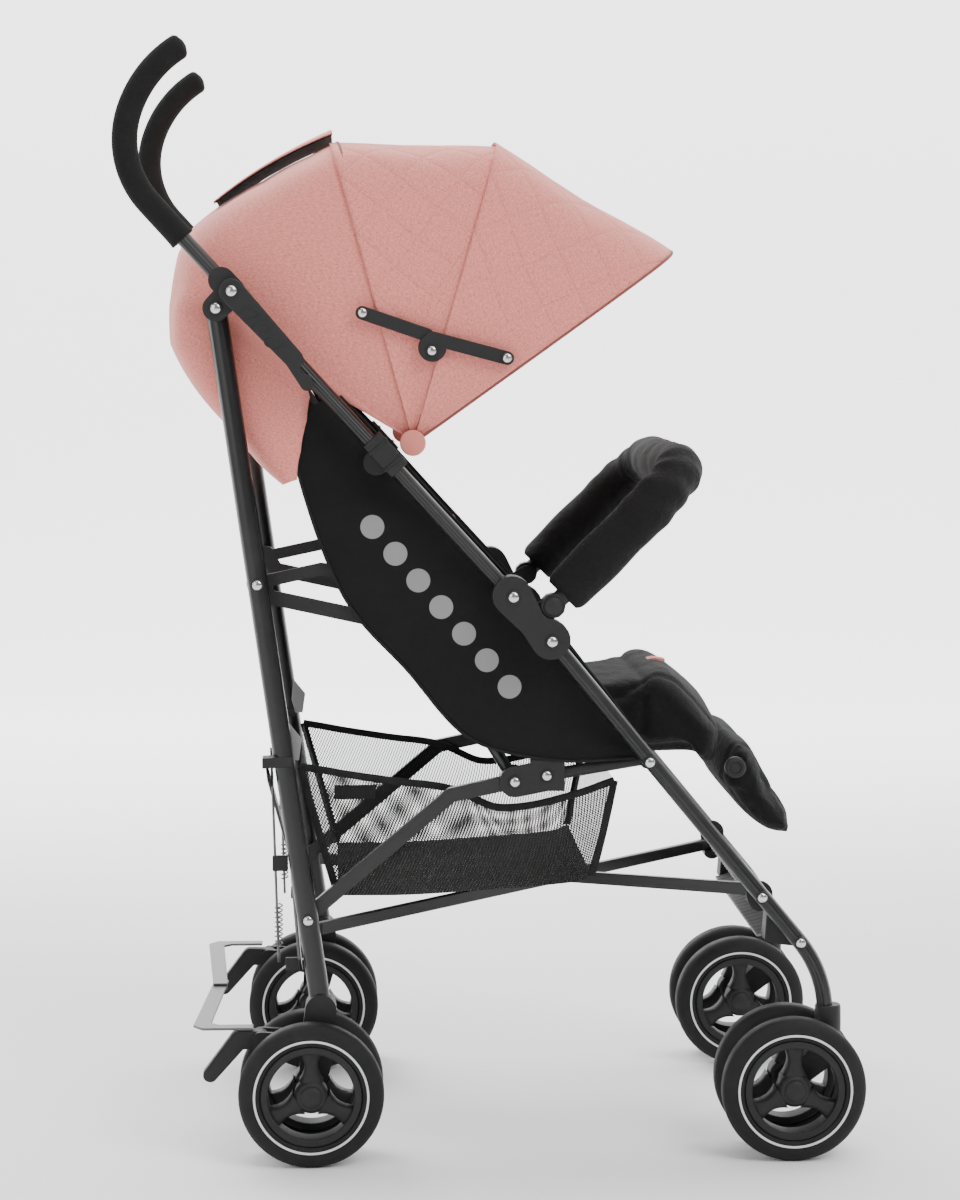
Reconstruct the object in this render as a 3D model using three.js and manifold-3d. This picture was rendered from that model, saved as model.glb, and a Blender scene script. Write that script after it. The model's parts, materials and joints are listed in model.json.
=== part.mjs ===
// Umbrella-fold baby stroller. Millimetres, +Z up, the child faces -Y, the child's right is -X.
// The origin is on the floor, under the middle of the stroller.
// Side-plane points are written [y, z]. A piece of one side is made by a function of side:
// -1 is the right side, +1 the left.
import * as THREE from 'three';
import { mergeVertices } from 'three/addons/utils/BufferGeometryUtils.js';
import Module from 'manifold-3d';

const wasm = await Module();
wasm.setup();

// ---- driving dimensions ----
const GAP = 0.4;                        // between pieces that touch on the real object
const FRAME_X = 190;                    // middle plane of each side frame
const TUBE_WIDE = 18;                   // oval frame tube, across the stroller
const TUBE_DEEP = 15.5;                 // oval frame tube, in the side plane
const REAR_TUBE_R = 10;

const WHEEL_R = 70;
const WHEEL_HALF = 14;                  // half the width of a tyre
const WHEEL_OFFSET = 29.5;              // from the frame plane to the middle of each twin wheel
const AXLE_R = 4;
const REAR_AXLE = [176.5, WHEEL_R];
const FRONT_AXLE = [-289.5, WHEEL_R];
const CASTER_Y = -327;                  // swivel axis of a front wheel pair

const LEG_TOP = [262.5, 821];           // pivot of the rear leg on the push tube's bracket
const LEG_FOOT = [163.5, 126];
const LATCH_PIN = [247.5, 837];
const TUBE_JOINT = [-18.5, 546.7];      // where the push tube enters the armrest bracket
const LEG_JOINT = [-55.5, 504];         // where the front leg enters it
const PUSH_SLOPE = 47.5;                // degrees above the horizontal
const FRONT_SLOPE = 50.6;
const KNUCKLE = [-56.5, 538];           // pivot of the bumper bar
const SEAT_PIN = [-150.5, 386];         // seat rail on the front leg
const RECLINE_PIN = [-21.5, 365];       // backrest tube and strut on the seat rail
const RAIL_RIVET = [-52.5, 371];
const BRACE_PIN = [-260.5, 253];        // floor brace bracket on the front leg
const FOOTREST_PIN = [-298.5, 208];
const RECLINE_SLOPE = 58.2;             // degrees above the horizontal, backrest upright
const BACKREST_LENGTH = 475;
const RECLINE_HUB = [225.5, 559];       // recline arm on the rear leg
const STRUT_PIN = [178.9, 235];         // lower end of the seat strut on the rear leg
const BRAKE_PIN = [225, 118];
const CANOPY_HUB = [76.5, 693];
const CALF_PIN = [-241.5, 372];
const BUMPER_FOOT = [-74, 554];         // lower end of each padded arm
const BUMPER_SLOPE = 45;
const BUMPER_R = 20.5;

const SOFT_X = 150;                     // half width of the seat's pads
const BASKET_X = 163;
const COLOUR = {
  tube: 0x1b1c1d, plastic: 0x222323, foam: 0x161616, steel: 0x9b9a95, tyre: 0x2a2a28,
  cloth: 0x1c1c1b, canopy: 0xd9958b, mesh: 0x252525, footrest: 0x8b8b88,
};

const stroller = new THREE.Group();

// ---- making solids ----
const rad = THREE.MathUtils.degToRad;
const X = new THREE.Vector3(1, 0, 0);
const Y = new THREE.Vector3(0, 1, 0);
const Z = new THREE.Vector3(0, 0, 1);
const SIDE_PLANE = new THREE.Matrix4().makeBasis(Y, Z, X);
const nameOf = (side) => (side < 0 ? 'right' : 'left');

function place(name, geometry, colour, roughness = 0.6, metalness = 0) {
  const material = new THREE.MeshStandardMaterial({ color: colour, roughness, metalness });
  const mesh = new THREE.Mesh(geometry, material);
  mesh.name = name;
  stroller.add(mesh);
}

function manifold(geometry) {
  const bare = geometry.clone();
  for (const key of Object.keys(bare.attributes)) if (key !== 'position') bare.deleteAttribute(key);
  const merged = mergeVertices(bare, 1e-4);
  const mesh = new wasm.Mesh({
    numProp: 3,
    vertProperties: new Float32Array(merged.attributes.position.array),
    triVerts: new Uint32Array(merged.index.array),
  });
  return new wasm.Manifold(mesh);
}

function geometryOf(solid) {
  const mesh = solid.getMesh();
  const geometry = new THREE.BufferGeometry();
  geometry.setAttribute('position', new THREE.BufferAttribute(mesh.vertProperties, 3));
  geometry.setIndex(new THREE.BufferAttribute(mesh.triVerts, 1));
  return geometry;
}

const join = (...parts) => geometryOf(parts.map(manifold).reduce((a, b) => a.add(b)));
const cut = (base, ...tools) => geometryOf(tools.map(manifold).reduce((a, b) => a.subtract(b), manifold(base)));

// Points given from the middle of a side frame outwards, as a range of x.
function across(side, inner, outer) {
  return side < 0 ? [-outer, -inner] : [inner, outer];
}

function alongSlope([y, z], degrees, distance) {
  return [y + distance * Math.cos(rad(degrees)), z + distance * Math.sin(rad(degrees))];
}

// A side-plane shape with thickness from x0 to x1.
function plate(shape, [x0, x1], curveSegments = 6) {
  const options = { depth: x1 - x0, bevelEnabled: false, curveSegments };
  const geometry = new THREE.ExtrudeGeometry(shape, options);
  geometry.applyMatrix4(SIDE_PLANE);
  return geometry.translate(x0, 0, 0);
}

function polygon(points) {
  return new THREE.Shape(points.map(([y, z]) => new THREE.Vector2(y, z)));
}

function disc([y, z], radius) {
  return new THREE.Shape().absarc(y, z, radius, 0, 2 * Math.PI);
}

// Two half circles joined by their tangents: the outline of a link with an eye at each end.
function link([ay, az], [by, bz], radius, endRadius = radius) {
  const along = Math.atan2(bz - az, by - ay);
  const lean = Math.acos((radius - endRadius) / Math.hypot(by - ay, bz - az));
  const shape = new THREE.Shape();
  shape.absarc(ay, az, radius, along + lean, along - lean + 2 * Math.PI);
  shape.absarc(by, bz, endRadius, along - lean, along + lean);
  return shape;
}

function oval(wide, deep) {
  return new THREE.Shape().absellipse(0, 0, wide / 2, deep / 2, 0, 2 * Math.PI);
}

function ring(outer, inner) {
  const shape = new THREE.Shape().absarc(0, 0, outer, 0, 2 * Math.PI);
  shape.holes.push(new THREE.Path().absarc(0, 0, inner, 0, 2 * Math.PI, true));
  return shape;
}

// A section drawn across the stroller (its x) and in the side plane (its y), carried along a path.
function sweep(section, path, steps, curveSegments = 6) {
  return new THREE.ExtrudeGeometry(section, { extrudePath: path, steps, curveSegments });
}

// A straight bar from a to b: its section's x lies along wideAxis.
function bar(a, b, section, wideAxis = X, curveSegments = 6) {
  const along = b.clone().sub(a);
  const depth = along.length();
  along.normalize();
  const wide = wideAxis.clone().addScaledVector(along, -wideAxis.dot(along)).normalize();
  const basis = new THREE.Matrix4().makeBasis(wide, along.clone().cross(wide), along).setPosition(a);
  const geometry = new THREE.ExtrudeGeometry(section, { depth, bevelEnabled: false, curveSegments });
  return geometry.applyMatrix4(basis);
}

function rod(x0, x1, [y, z], radius, sides = 12) {
  const geometry = new THREE.CylinderGeometry(radius, radius, x1 - x0, sides);
  return geometry.rotateZ(-Math.PI / 2).translate((x0 + x1) / 2, y, z);
}

function post([x, y], z0, z1, radius, sides = 16) {
  const geometry = new THREE.CylinderGeometry(radius, radius, z1 - z0, sides);
  return geometry.rotateX(Math.PI / 2).translate(x, y, (z0 + z1) / 2);
}

function block([x0, x1], [y0, y1], [z0, z1]) {
  const geometry = new THREE.BoxGeometry(x1 - x0, y1 - y0, z1 - z0);
  return geometry.translate((x0 + x1) / 2, (y0 + y1) / 2, (z0 + z1) / 2);
}

// A path in the plane x = const: straight lengths and arcs, from a heading in degrees above +Y.
function sidePath(x, [y, z], heading, runs) {
  const points = [new THREE.Vector3(x, y, z)];
  let angle = rad(heading);
  const step = (length) => {
    const last = points[points.length - 1];
    points.push(new THREE.Vector3(x, last.y + length * Math.cos(angle), last.z + length * Math.sin(angle)));
  };
  for (const run of runs) {
    if (run.straight) step(run.straight);
    const parts = run.radius ? Math.ceil(Math.abs(run.turn) / 9) : 0;
    for (let i = 0; i < parts; i += 1) {
      const part = rad(run.turn) / parts;
      angle += part / 2;
      step(2 * run.radius * Math.abs(Math.sin(part / 2)));
      angle += part / 2;
    }
  }
  return points;
}

// The same section at every point of a bent tube, so straight lengths cost no extra faces.
class Route extends THREE.Curve {
  constructor(points) {
    super();
    this.points = points;
  }

  getPoint(t) {
    const at = Math.min(Math.max(t, 0), 1) * (this.points.length - 1);
    const i = Math.min(Math.floor(at), this.points.length - 2);
    return this.points[i].clone().lerp(this.points[i + 1], at - i);
  }

  getPointAt(t) {
    return this.getPoint(t);
  }

  getTangentAt(t) {
    const last = this.points.length - 1;
    const i = Math.round(t * last);
    const before = this.points[Math.max(i - 1, 0)];
    const after = this.points[Math.min(i + 1, last)];
    return after.clone().sub(before).normalize();
  }
}

function bentTube(points, section, curveSegments = 6) {
  return sweep(section, new Route(points), points.length - 1, curveSegments);
}

// ---- side frame: push tube, grip, front leg ----
const GRIP_RUNS = [{ straight: 46 }, { radius: 86, turn: 60 }, { radius: 112, turn: 41 }];
const GRIP_FOOT = [293.5, 886];

function pushTubePoints(x) {
  const toGrip = Math.hypot(GRIP_FOOT[0] - TUBE_JOINT[0], GRIP_FOOT[1] - TUBE_JOINT[1]);
  const runs = [{ straight: toGrip - 7 }, ...GRIP_RUNS];
  return sidePath(x, alongSlope(TUBE_JOINT, PUSH_SLOPE, 7), PUSH_SLOPE, runs);
}

function pushTube(side) {
  const x = side * FRAME_X;
  place(`${nameOf(side)}_push_tube`, bentTube(pushTubePoints(x), oval(TUBE_WIDE, TUBE_DEEP)), COLOUR.tube, 0.35, 0.7);
}

const GRIP_R = 13;
const GRIP_BORE = 9 + GAP;

function grip(side) {
  const points = pushTubePoints(side * FRAME_X).slice(1);
  const closing = points.slice(-2);
  const tip = closing[1].clone().sub(closing[0]).normalize();
  const sleeve = bentTube(points, ring(GRIP_R, GRIP_BORE));
  const start = closing[1].clone().addScaledVector(tip, GAP);
  const cap = bar(closing[1].clone().addScaledVector(tip, -2), start.clone().addScaledVector(tip, 5), oval(2 * GRIP_R - 0.4, 2 * GRIP_R - 0.4));
  const inner = bar(closing[0], start, oval(2 * GRIP_BORE, 2 * GRIP_BORE));
  place(`${nameOf(side)}_grip`, cut(join(sleeve, cap), inner), COLOUR.foam, 0.95);
}

const SOCKET = { radius: 13, bottom: 113, top: 145 };

function frontLeg(side) {
  const x = side * FRAME_X;
  const start = alongSlope(LEG_JOINT, FRONT_SLOPE, -7.5);
  const straight = Math.hypot(FOOTREST_PIN[0] - start[0], FOOTREST_PIN[1] - start[1]);
  const runs = [{ straight }, { radius: 112, turn: 90 - FRONT_SLOPE }, { straight: 10 }];
  const tube = bentTube(sidePath(x, start, 180 + FRONT_SLOPE, runs), oval(TUBE_WIDE, TUBE_DEEP));
  const socket = post([x, CASTER_Y], SOCKET.bottom, SOCKET.top, SOCKET.radius);
  place(`${nameOf(side)}_front_leg`, join(tube, socket), COLOUR.tube, 0.35, 0.7);
}

// ---- side frame: brackets on the tubes ----
const OUTER_FACE = 206;

// The way a tube passes through a bracket: its own outline, opened towards the middle of the stroller.
function tubeChannel(side, a, b) {
  const x = side * FRAME_X;
  const section = oval(TUBE_WIDE + 2 * GAP, TUBE_DEEP + 2 * GAP);
  const bore = bar(new THREE.Vector3(x, ...a), new THREE.Vector3(x, ...b), section);
  return join(bore, plate(link(a, b, TUBE_DEEP / 2 + GAP), across(side, 170, FRAME_X)));
}

function upperBracket(side) {
  const outer = across(side, 182, OUTER_FACE);
  const body = join(
    plate(link(LATCH_PIN, LEG_TOP, 12.5), outer),
    plate(link(alongSlope(LATCH_PIN, PUSH_SLOPE, 14), LATCH_PIN, 12.5), outer),
  );
  const channel = tubeChannel(side, alongSlope(LATCH_PIN, PUSH_SLOPE, -40), alongSlope(LATCH_PIN, PUSH_SLOPE, 50));
  const room = across(side, 170, 200.5);
  const legSlots = [plate(disc(LEG_TOP, 14), room), plate(link(LEG_TOP, alongSlope(LEG_TOP, 255, 30), 12), room)];
  place(`${nameOf(side)}_upper_bracket`, cut(body, channel, ...legSlots), COLOUR.plastic, 0.55);
}

function armrestBracket(side) {
  const outer = across(side, 182, OUTER_FACE);
  const top = alongSlope(TUBE_JOINT, PUSH_SLOPE, 2);
  const low = alongSlope(LEG_JOINT, FRONT_SLOPE, 2);
  const waist = [-37, 521];
  const body = join(
    plate(link(top, waist, 19, 13), outer),
    plate(link(waist, low, 13, 19), outer),
    plate(link(waist, KNUCKLE, 12, 9), across(side, 182, 186)),
  );
  const upper = tubeChannel(side, alongSlope(TUBE_JOINT, PUSH_SLOPE, 6), alongSlope(TUBE_JOINT, PUSH_SLOPE, 60));
  const lower = tubeChannel(side, alongSlope(LEG_JOINT, FRONT_SLOPE, -6.5), alongSlope(LEG_JOINT, FRONT_SLOPE, -60));
  const knuckleRoom = plate(disc(KNUCKLE, 12.6), across(side, 186, 210));
  place(`${nameOf(side)}_armrest_bracket`, cut(body, upper, lower, knuckleRoom), COLOUR.plastic, 0.55);
}

function bumperKnuckle(side) {
  const eye = plate(disc(KNUCKLE, 12), across(side, 186.4, 203));
  const from = new THREE.Vector3(side * 194, ...alongSlope(KNUCKLE, 180 - BUMPER_SLOPE, 4));
  const to = new THREE.Vector3(side * 194, ...alongSlope(BUMPER_FOOT, 180 - BUMPER_SLOPE, -1.6));
  place(`${nameOf(side)}_bumper_knuckle`, join(eye, bar(from, to, oval(15, 17))), COLOUR.plastic, 0.5);
}

// A hooked lever on the right push tube, which holds the stroller folded.
function foldLatch() {
  const range = across(-1, OUTER_FACE + GAP, 213);
  const elbow = alongSlope(LATCH_PIN, PUSH_SLOPE, -86);
  const tip = [elbow[0] - 12, elbow[1] - 24];
  const lever = join(plate(link(LATCH_PIN, elbow, 12, 9), range), plate(link(elbow, tip, 9, 6), range));
  const mouth = plate(disc([elbow[0] - 12, elbow[1] - 9], 6), across(-1, OUTER_FACE, 214));
  place('fold_latch', cut(lever, mouth), COLOUR.plastic, 0.5);
}

// ---- seat frame: rail, strut, backrest tube, recline arm ----
const RAIL_X = 170;
const SLEEVE = { y: [-70, -37], z: [356, 386] };

function seatRail(side) {
  const x = side * RAIL_X;
  const start = new THREE.Vector3(x, ...SEAT_PIN);
  const end = new THREE.Vector3(x, SLEEVE.y[0] + 2, RAIL_RIVET[1] + 1.5);
  place(`${nameOf(side)}_seat_rail`, join(
    bar(start, end, oval(12, 12)),
    plate(disc(SEAT_PIN, 9), across(side, 164, 180.6)),
    block(across(side, 163, 179.2), SLEEVE.y, SLEEVE.z),
    plate(link(RAIL_RIVET, RECLINE_PIN, 15, 15), across(side, 175.6, 179.2)),
  ), COLOUR.plastic, 0.5);
}

function strut(side) {
  const inner = across(side, 167, 175.2);
  const bend = [40, 352];
  const nearPin = [STRUT_PIN[0], STRUT_PIN[1]];
  place(`${nameOf(side)}_strut`, join(
    plate(disc(RECLINE_PIN, 13), inner),
    plate(link(RECLINE_PIN, bend, 7), inner),
    plate(link(bend, nearPin, 7), inner),
    plate(disc(STRUT_PIN, 9), across(side, 167, 179.6)),
  ), COLOUR.tube, 0.4, 0.6);
}

const BACKREST_X = 160;

function backrestTube(side) {
  const x = side * BACKREST_X;
  const top = alongSlope(RECLINE_PIN, RECLINE_SLOPE, BACKREST_LENGTH);
  place(`${nameOf(side)}_backrest_tube`, join(
    plate(disc(RECLINE_PIN, 14), across(side, 154, 166.3)),
    bar(new THREE.Vector3(x, ...RECLINE_PIN), new THREE.Vector3(x, ...top), oval(12, 12)),
  ), COLOUR.tube, 0.4, 0.6);
}

function reclineArm(side) {
  const inner = across(side, 167, 172.5);
  const onTube = [108, 561];
  const stop = [118, 524];
  place(`${nameOf(side)}_recline_arm`, join(
    plate(disc(RECLINE_HUB, 11), across(side, 167, 179.6)),
    plate(link(RECLINE_HUB, [165, 572], 6), inner),
    plate(link([165, 572], onTube, 6, 9), inner),
    plate(link([214, 545], stop, 7), inner),
    plate(link(RECLINE_HUB, [214, 545], 9, 7), inner),
    plate(link(onTube, stop, 9, 7), inner),
  ), COLOUR.plastic, 0.5);
}

// ---- rear leg and foot ----
function rearLeg(side) {
  const x = side * FRAME_X;
  const tube = bar(new THREE.Vector3(x, ...LEG_TOP), new THREE.Vector3(x, ...LEG_FOOT), oval(2 * REAR_TUBE_R, 2 * REAR_TUBE_R), X, 8);
  place(`${nameOf(side)}_rear_leg`, join(tube, plate(disc(LEG_TOP, 11), across(side, 181, 200))), COLOUR.tube, 0.35, 0.7);
}

function legAt(distance) {
  const length = Math.hypot(LEG_FOOT[0] - LEG_TOP[0], LEG_FOOT[1] - LEG_TOP[1]);
  return [0, 1].map((i) => LEG_TOP[i] + ((LEG_FOOT[i] - LEG_TOP[i]) * distance) / length);
}

function rearFoot(side) {
  const x = side * FRAME_X;
  const wall = across(side, 177.5, 202.5);
  const body = join(
    plate(link([167, 148], [170, 110], 15, 17), wall),
    plate(link([170, 110], REAR_AXLE, 17, 12), wall),
    plate(link([176, 112], BRAKE_PIN, 12, 9), wall),
  );
  const socket = bar(new THREE.Vector3(x, ...legAt(600)), new THREE.Vector3(x, ...legAt(702.6)), oval(2 * REAR_TUBE_R + 2 * GAP, 2 * REAR_TUBE_R + 2 * GAP), X, 8);
  const pedalRoom = plate(link([212, 122], [250, 122], 13), across(side, 182.6, 197.4));
  const pedalSwing = plate(link(BRAKE_PIN, [262, 60], 12), across(side, 182.6, 197.4));
  const axle = rod(...across(side, 145.5, 234.5), REAR_AXLE, AXLE_R);
  place(`${nameOf(side)}_rear_foot`, join(cut(body, socket, pedalRoom, pedalSwing), axle), COLOUR.plastic, 0.55);
}

// ---- brake: a pedal behind each rear leg, joined by two steel straps ----
const STRAP = { z: 128.2, thick: 2.4, wide: 15, y: 240, corner: 281, middle: 270.5 };

function brakePedal(side) {
  const width = across(side, 183, 197);
  const tip = [274, 84];
  place(`${nameOf(side)}_brake_pedal`, join(
    plate(disc(BRAKE_PIN, 9), width),
    plate(link(BRAKE_PIN, [246, 118], 8.5, 9), width),
    plate(link([246, 118], tip, 9, 7), width),
  ), COLOUR.plastic, 0.5);
}

// Each strap runs back from its pedal, turns, and ends under or over its fellow in the middle.
function brakeStrap(side) {
  const base = STRAP.z + (side > 0 ? STRAP.thick + GAP : 0);
  const half = STRAP.wide / 2;
  const [x0, x1] = [FRAME_X * side, 14 * -side];
  const corner = STRAP.corner;
  const outline = new THREE.Shape([
    [x0 - side * half, STRAP.y - half], [x0 + side * half, STRAP.y - half],
    [x0 + side * half, corner], [x0 - side * 6, corner + half + 2],
    [x1, STRAP.middle + half], [x1, STRAP.middle - half],
    [x0 - side * (half + 8), corner - half], [x0 - side * half, corner - half - 8],
  ].map(([x, y]) => new THREE.Vector2(x, y)));
  const flat = new THREE.ExtrudeGeometry(outline, { depth: STRAP.thick, bevelEnabled: false });
  place(`${nameOf(side)}_brake_strap`, flat.translate(0, 0, base), COLOUR.steel, 0.4, 0.9);
}

// ---- floor braces: two bars crossing under the basket, two more behind the rear legs ----
const BAR = { tall: 12, thick: 7, rearX: 157, frontX: 168 };
const BAR_REAR_Y = 168;
const BAR_FRONT_Y = -259;
const BAR_RISE = 24;
const barLevel = (side) => (side > 0 ? 219 : 231.6);

// Carried by the bracket on its own side; its far end is beside the other rear leg.
function floorBar(side) {
  const z = barLevel(side);
  const rear = new THREE.Vector3(-side * BAR.rearX, BAR_REAR_Y, z);
  const front = new THREE.Vector3(side * BAR.frontX, BAR_FRONT_Y, z + BAR_RISE);
  const section = new THREE.Shape([
    new THREE.Vector2(-BAR.thick / 2, -BAR.tall / 2), new THREE.Vector2(BAR.thick / 2, -BAR.tall / 2),
    new THREE.Vector2(BAR.thick / 2, BAR.tall / 2), new THREE.Vector2(-BAR.thick / 2, BAR.tall / 2),
  ]);
  const wide = new THREE.Vector3().crossVectors(front.clone().sub(rear), Z).normalize();
  place(`${nameOf(side)}_floor_bar`, bar(rear, front, section, wide), COLOUR.tube, 0.4, 0.6);
}

function floorBracket(side) {
  const bottom = barLevel(side) + BAR_RISE - BAR.tall / 2 - 1.4;
  const tab = block(across(side, 158, 178), [BAR_FRONT_Y - 9, BAR_FRONT_Y + 9], [bottom - 4, bottom]);
  place(`${nameOf(side)}_floor_bracket`, join(
    plate(link(BRACE_PIN, [BRACE_PIN[0], bottom - 2], 13, 10), across(side, 176.5, 180.6)), tab,
  ), COLOUR.plastic, 0.55);
}

const BRACE_FOOT = legAt(636);
const BRACE_HEAD = legAt(447);

// A flat strip from low on its own rear leg to high on the other, in a layer of its own.
function rearBrace(side) {
  const behind = side > 0 ? 17.4 : 13.9;
  const slope = Math.atan2(LEG_TOP[1] - LEG_FOOT[1], LEG_TOP[0] - LEG_FOOT[0]);
  const back = [Math.sin(slope) * behind, -Math.cos(slope) * behind];
  const from = new THREE.Vector3(side * FRAME_X, BRACE_FOOT[0] + back[0], BRACE_FOOT[1] + back[1]);
  const to = new THREE.Vector3(-side * FRAME_X, BRACE_HEAD[0] + back[0], BRACE_HEAD[1] + back[1]);
  const normal = new THREE.Vector3(0, back[0], back[1]).normalize();
  const section = new THREE.Shape([
    new THREE.Vector2(-1.5, -7), new THREE.Vector2(1.5, -7), new THREE.Vector2(1.5, 7), new THREE.Vector2(-1.5, 7),
  ]);
  place(`${nameOf(side)}_rear_brace`, bar(from, to, section, normal), COLOUR.tube, 0.4, 0.6);
}

// ---- wheels ----
const HUB_BORE = 4.6;

// Half of the wheel's section: [radius, distance from the wheel's middle plane].
const WHEEL_SECTION = [[HUB_BORE, 12], [14, 12], [18, 5], [43, 5], [48, 12.5], [62, WHEEL_HALF], [WHEEL_R, 8]];

function wheel(name, x, [y, z]) {
  const half = WHEEL_SECTION.map(([r, w]) => new THREE.Vector2(r, w));
  const other = WHEEL_SECTION.map(([r, w]) => new THREE.Vector2(r, -w)).reverse();
  const profile = [...half, ...other, half[0].clone()];
  const whole = new THREE.LatheGeometry(profile, 24).rotateZ(Math.PI / 2);
  const windows = [0, 1, 2].map((i) => {
    const turn = (i * 2 * Math.PI) / 3;
    const shape = new THREE.Shape();
    shape.absarc(0, 0, 39, turn, turn + 1.45);
    shape.absarc(0, 0, 24, turn + 1.3, turn + 0.15, true);
    return plate(shape, [-20, 20], 5);
  });
  const solid = manifold(whole).volume() < 0 ? whole.scale(-1, 1, 1) : whole;
  place(name, cut(solid, ...windows).translate(x, y, z), COLOUR.tyre, 0.85);
}

function frontFork(side) {
  const x = side * FRAME_X;
  place(`${nameOf(side)}_front_fork`, join(
    post([x, CASTER_Y], 94, SOCKET.bottom - GAP, 12.6),
    plate(link([CASTER_Y + 5, 98], FRONT_AXLE, 13, 10), across(side, 180, 200)),
    rod(...across(side, 145.5, 234.5), FRONT_AXLE, AXLE_R),
  ), COLOUR.plastic, 0.55);
}

// ---- canopy ----
const CANOPY_REAR_EDGE = -18;           // degrees about the hub
const BOW_REAR = 76.3;
const BOW_MIDDLE = 107.5;
const BOW_FRONT = 144.4;
const CLOTH = 2;

// Half of a bow's outline: [share of the half width, share of the height above the hub].
const BOW = [[0.985, 0.1], [1, 0.3], [1, 0.55], [0.99, 0.72], [0.95, 0.85], [0.87, 0.93], [0.72, 0.968], [0.4, 0.992], [0, 1]];

function bowPoint(share, halfWidth, height) {
  const last = BOW.length - 1;
  const at = Math.abs(share) * last;
  const i = Math.min(Math.floor(at), last - 1);
  const [w, h] = [0, 1].map((k) => THREE.MathUtils.lerp(BOW[last - i][k], BOW[last - i - 1][k], at - i));
  return [Math.sign(share) * w * halfWidth, h * height];
}

// A closed sheet: an outer and an inner face of the same grid, joined round the rim.
function sheet(columns, rows, outer, inner) {
  const geometry = new THREE.BufferGeometry();
  const points = [];
  for (const face of [outer, inner]) {
    for (let j = 0; j <= rows; j += 1) {
      for (let i = 0; i <= columns; i += 1) points.push(...face(i / columns, j / rows));
    }
  }
  const at = (face, i, j) => face * (columns + 1) * (rows + 1) + j * (columns + 1) + i;
  const index = [];
  const quad = (a, b, c, d) => index.push(a, c, b, a, d, c);
  for (let j = 0; j < rows; j += 1) {
    for (let i = 0; i < columns; i += 1) {
      quad(at(0, i, j), at(0, i + 1, j), at(0, i + 1, j + 1), at(0, i, j + 1));
      quad(at(1, i, j), at(1, i, j + 1), at(1, i + 1, j + 1), at(1, i + 1, j));
    }
  }
  for (let i = 0; i < columns; i += 1) {
    quad(at(0, i, 0), at(1, i, 0), at(1, i + 1, 0), at(0, i + 1, 0));
    quad(at(0, i + 1, rows), at(1, i + 1, rows), at(1, i, rows), at(0, i, rows));
  }
  for (let j = 0; j < rows; j += 1) {
    quad(at(0, 0, j + 1), at(1, 0, j + 1), at(1, 0, j), at(0, 0, j));
    quad(at(0, columns, j), at(1, columns, j), at(1, columns, j + 1), at(0, columns, j + 1));
  }
  geometry.setAttribute('position', new THREE.BufferAttribute(new Float32Array(points), 3));
  geometry.setIndex(index);
  return geometry;
}

function canopyPanel(name, from, to, halfWidth, heightAt, rows) {
  const face = (inset) => (u, v) => {
    const angle = THREE.MathUtils.lerp(from, to, v);
    const [x, r] = bowPoint(2 * u - 1, halfWidth - inset, heightAt(angle) - inset);
    return [x, CANOPY_HUB[0] + r * Math.cos(rad(angle)), CANOPY_HUB[1] + r * Math.sin(rad(angle))];
  };
  place(name, sheet(16, rows, face(0), face(CLOTH)), COLOUR.canopy, 0.9);
}

// The rear panel's reach from the hub at each angle: it narrows down the back of the seat.
const REAR_REACH = [[-20, 128], [-4, 159], [5.4, 183], [22, 256], [38.7, 295], [44.5, 302], [80, 302]];

function rearHeight(angle) {
  const k = REAR_REACH.findIndex(([a]) => a >= angle);
  if (k < 1) return REAR_REACH[0][1];
  const [[a0, r0], [a1, r1]] = REAR_REACH.slice(k - 1, k + 1);
  return THREE.MathUtils.mapLinear(angle, a0, a1, r0, r1);
}

function canopy() {
  canopyPanel('canopy_rear', CANOPY_REAR_EDGE, BOW_REAR - 0.2, 171, rearHeight, 9);
  canopyPanel('canopy_middle', BOW_REAR - 4, BOW_MIDDLE - 0.2, 173.6, () => 305, 4);
  canopyPanel('canopy_front', BOW_MIDDLE - 4, BOW_FRONT, 176.2, (a) => 308 + Math.max(0, a - BOW_MIDDLE) * 0.45, 5);
}

const STRETCHER_REAR = [124.5, 817];
const STRETCHER_KNEE = [58.5, 781];
const STRETCHER_FRONT = [-13.5, 774];

// Both links lie on one line; each drops at its corner to the knee rivet below that line.
function stretchers(side) {
  const name = nameOf(side);
  const rearCorner = [63, 796];
  const frontCorner = [58, 793];
  place(`${name}_stretcher_rear`, join(
    plate(link(STRETCHER_REAR, rearCorner, 6.5), across(side, 178, 180.6)),
    plate(link(rearCorner, STRETCHER_KNEE, 6.5, 6), across(side, 178, 180.6)),
  ), COLOUR.plastic, 0.5);
  place(`${name}_stretcher_front`, join(
    plate(link(STRETCHER_KNEE, frontCorner, 6, 6.5), across(side, 181, 183.6)),
    plate(link(frontCorner, STRETCHER_FRONT, 6.5), across(side, 181, 183.6)),
  ), COLOUR.plastic, 0.5);
}

// ---- soft pieces ----
function sidePanel(side) {
  const outline = polygon([
    [184, 664], [176, 604], [141, 540], [28, 416], [4, 392], [-76, 391], [-142, 396],
    [-150, 405], [-66, 507], [-16, 564], [98, 690],
  ]);
  place(`${nameOf(side)}_side_panel`, plate(outline, across(side, 176.2, 179.4)), COLOUR.cloth, 0.9);
}

function seat() {
  const outline = polygon([
    [30, 398], [20, 406], [-12, 425], [-60, 438], [-120, 446], [-146, 450], [-174, 459], [-195, 457], [-210, 443],
    [-232, 417], [-244, 401], [-229, 369], [-210, 391], [-163, 390], [-110, 392], [0, 390],
  ]);
  place('seat', plate(outline, [-SOFT_X, SOFT_X]), COLOUR.cloth, 0.9);
}

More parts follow.
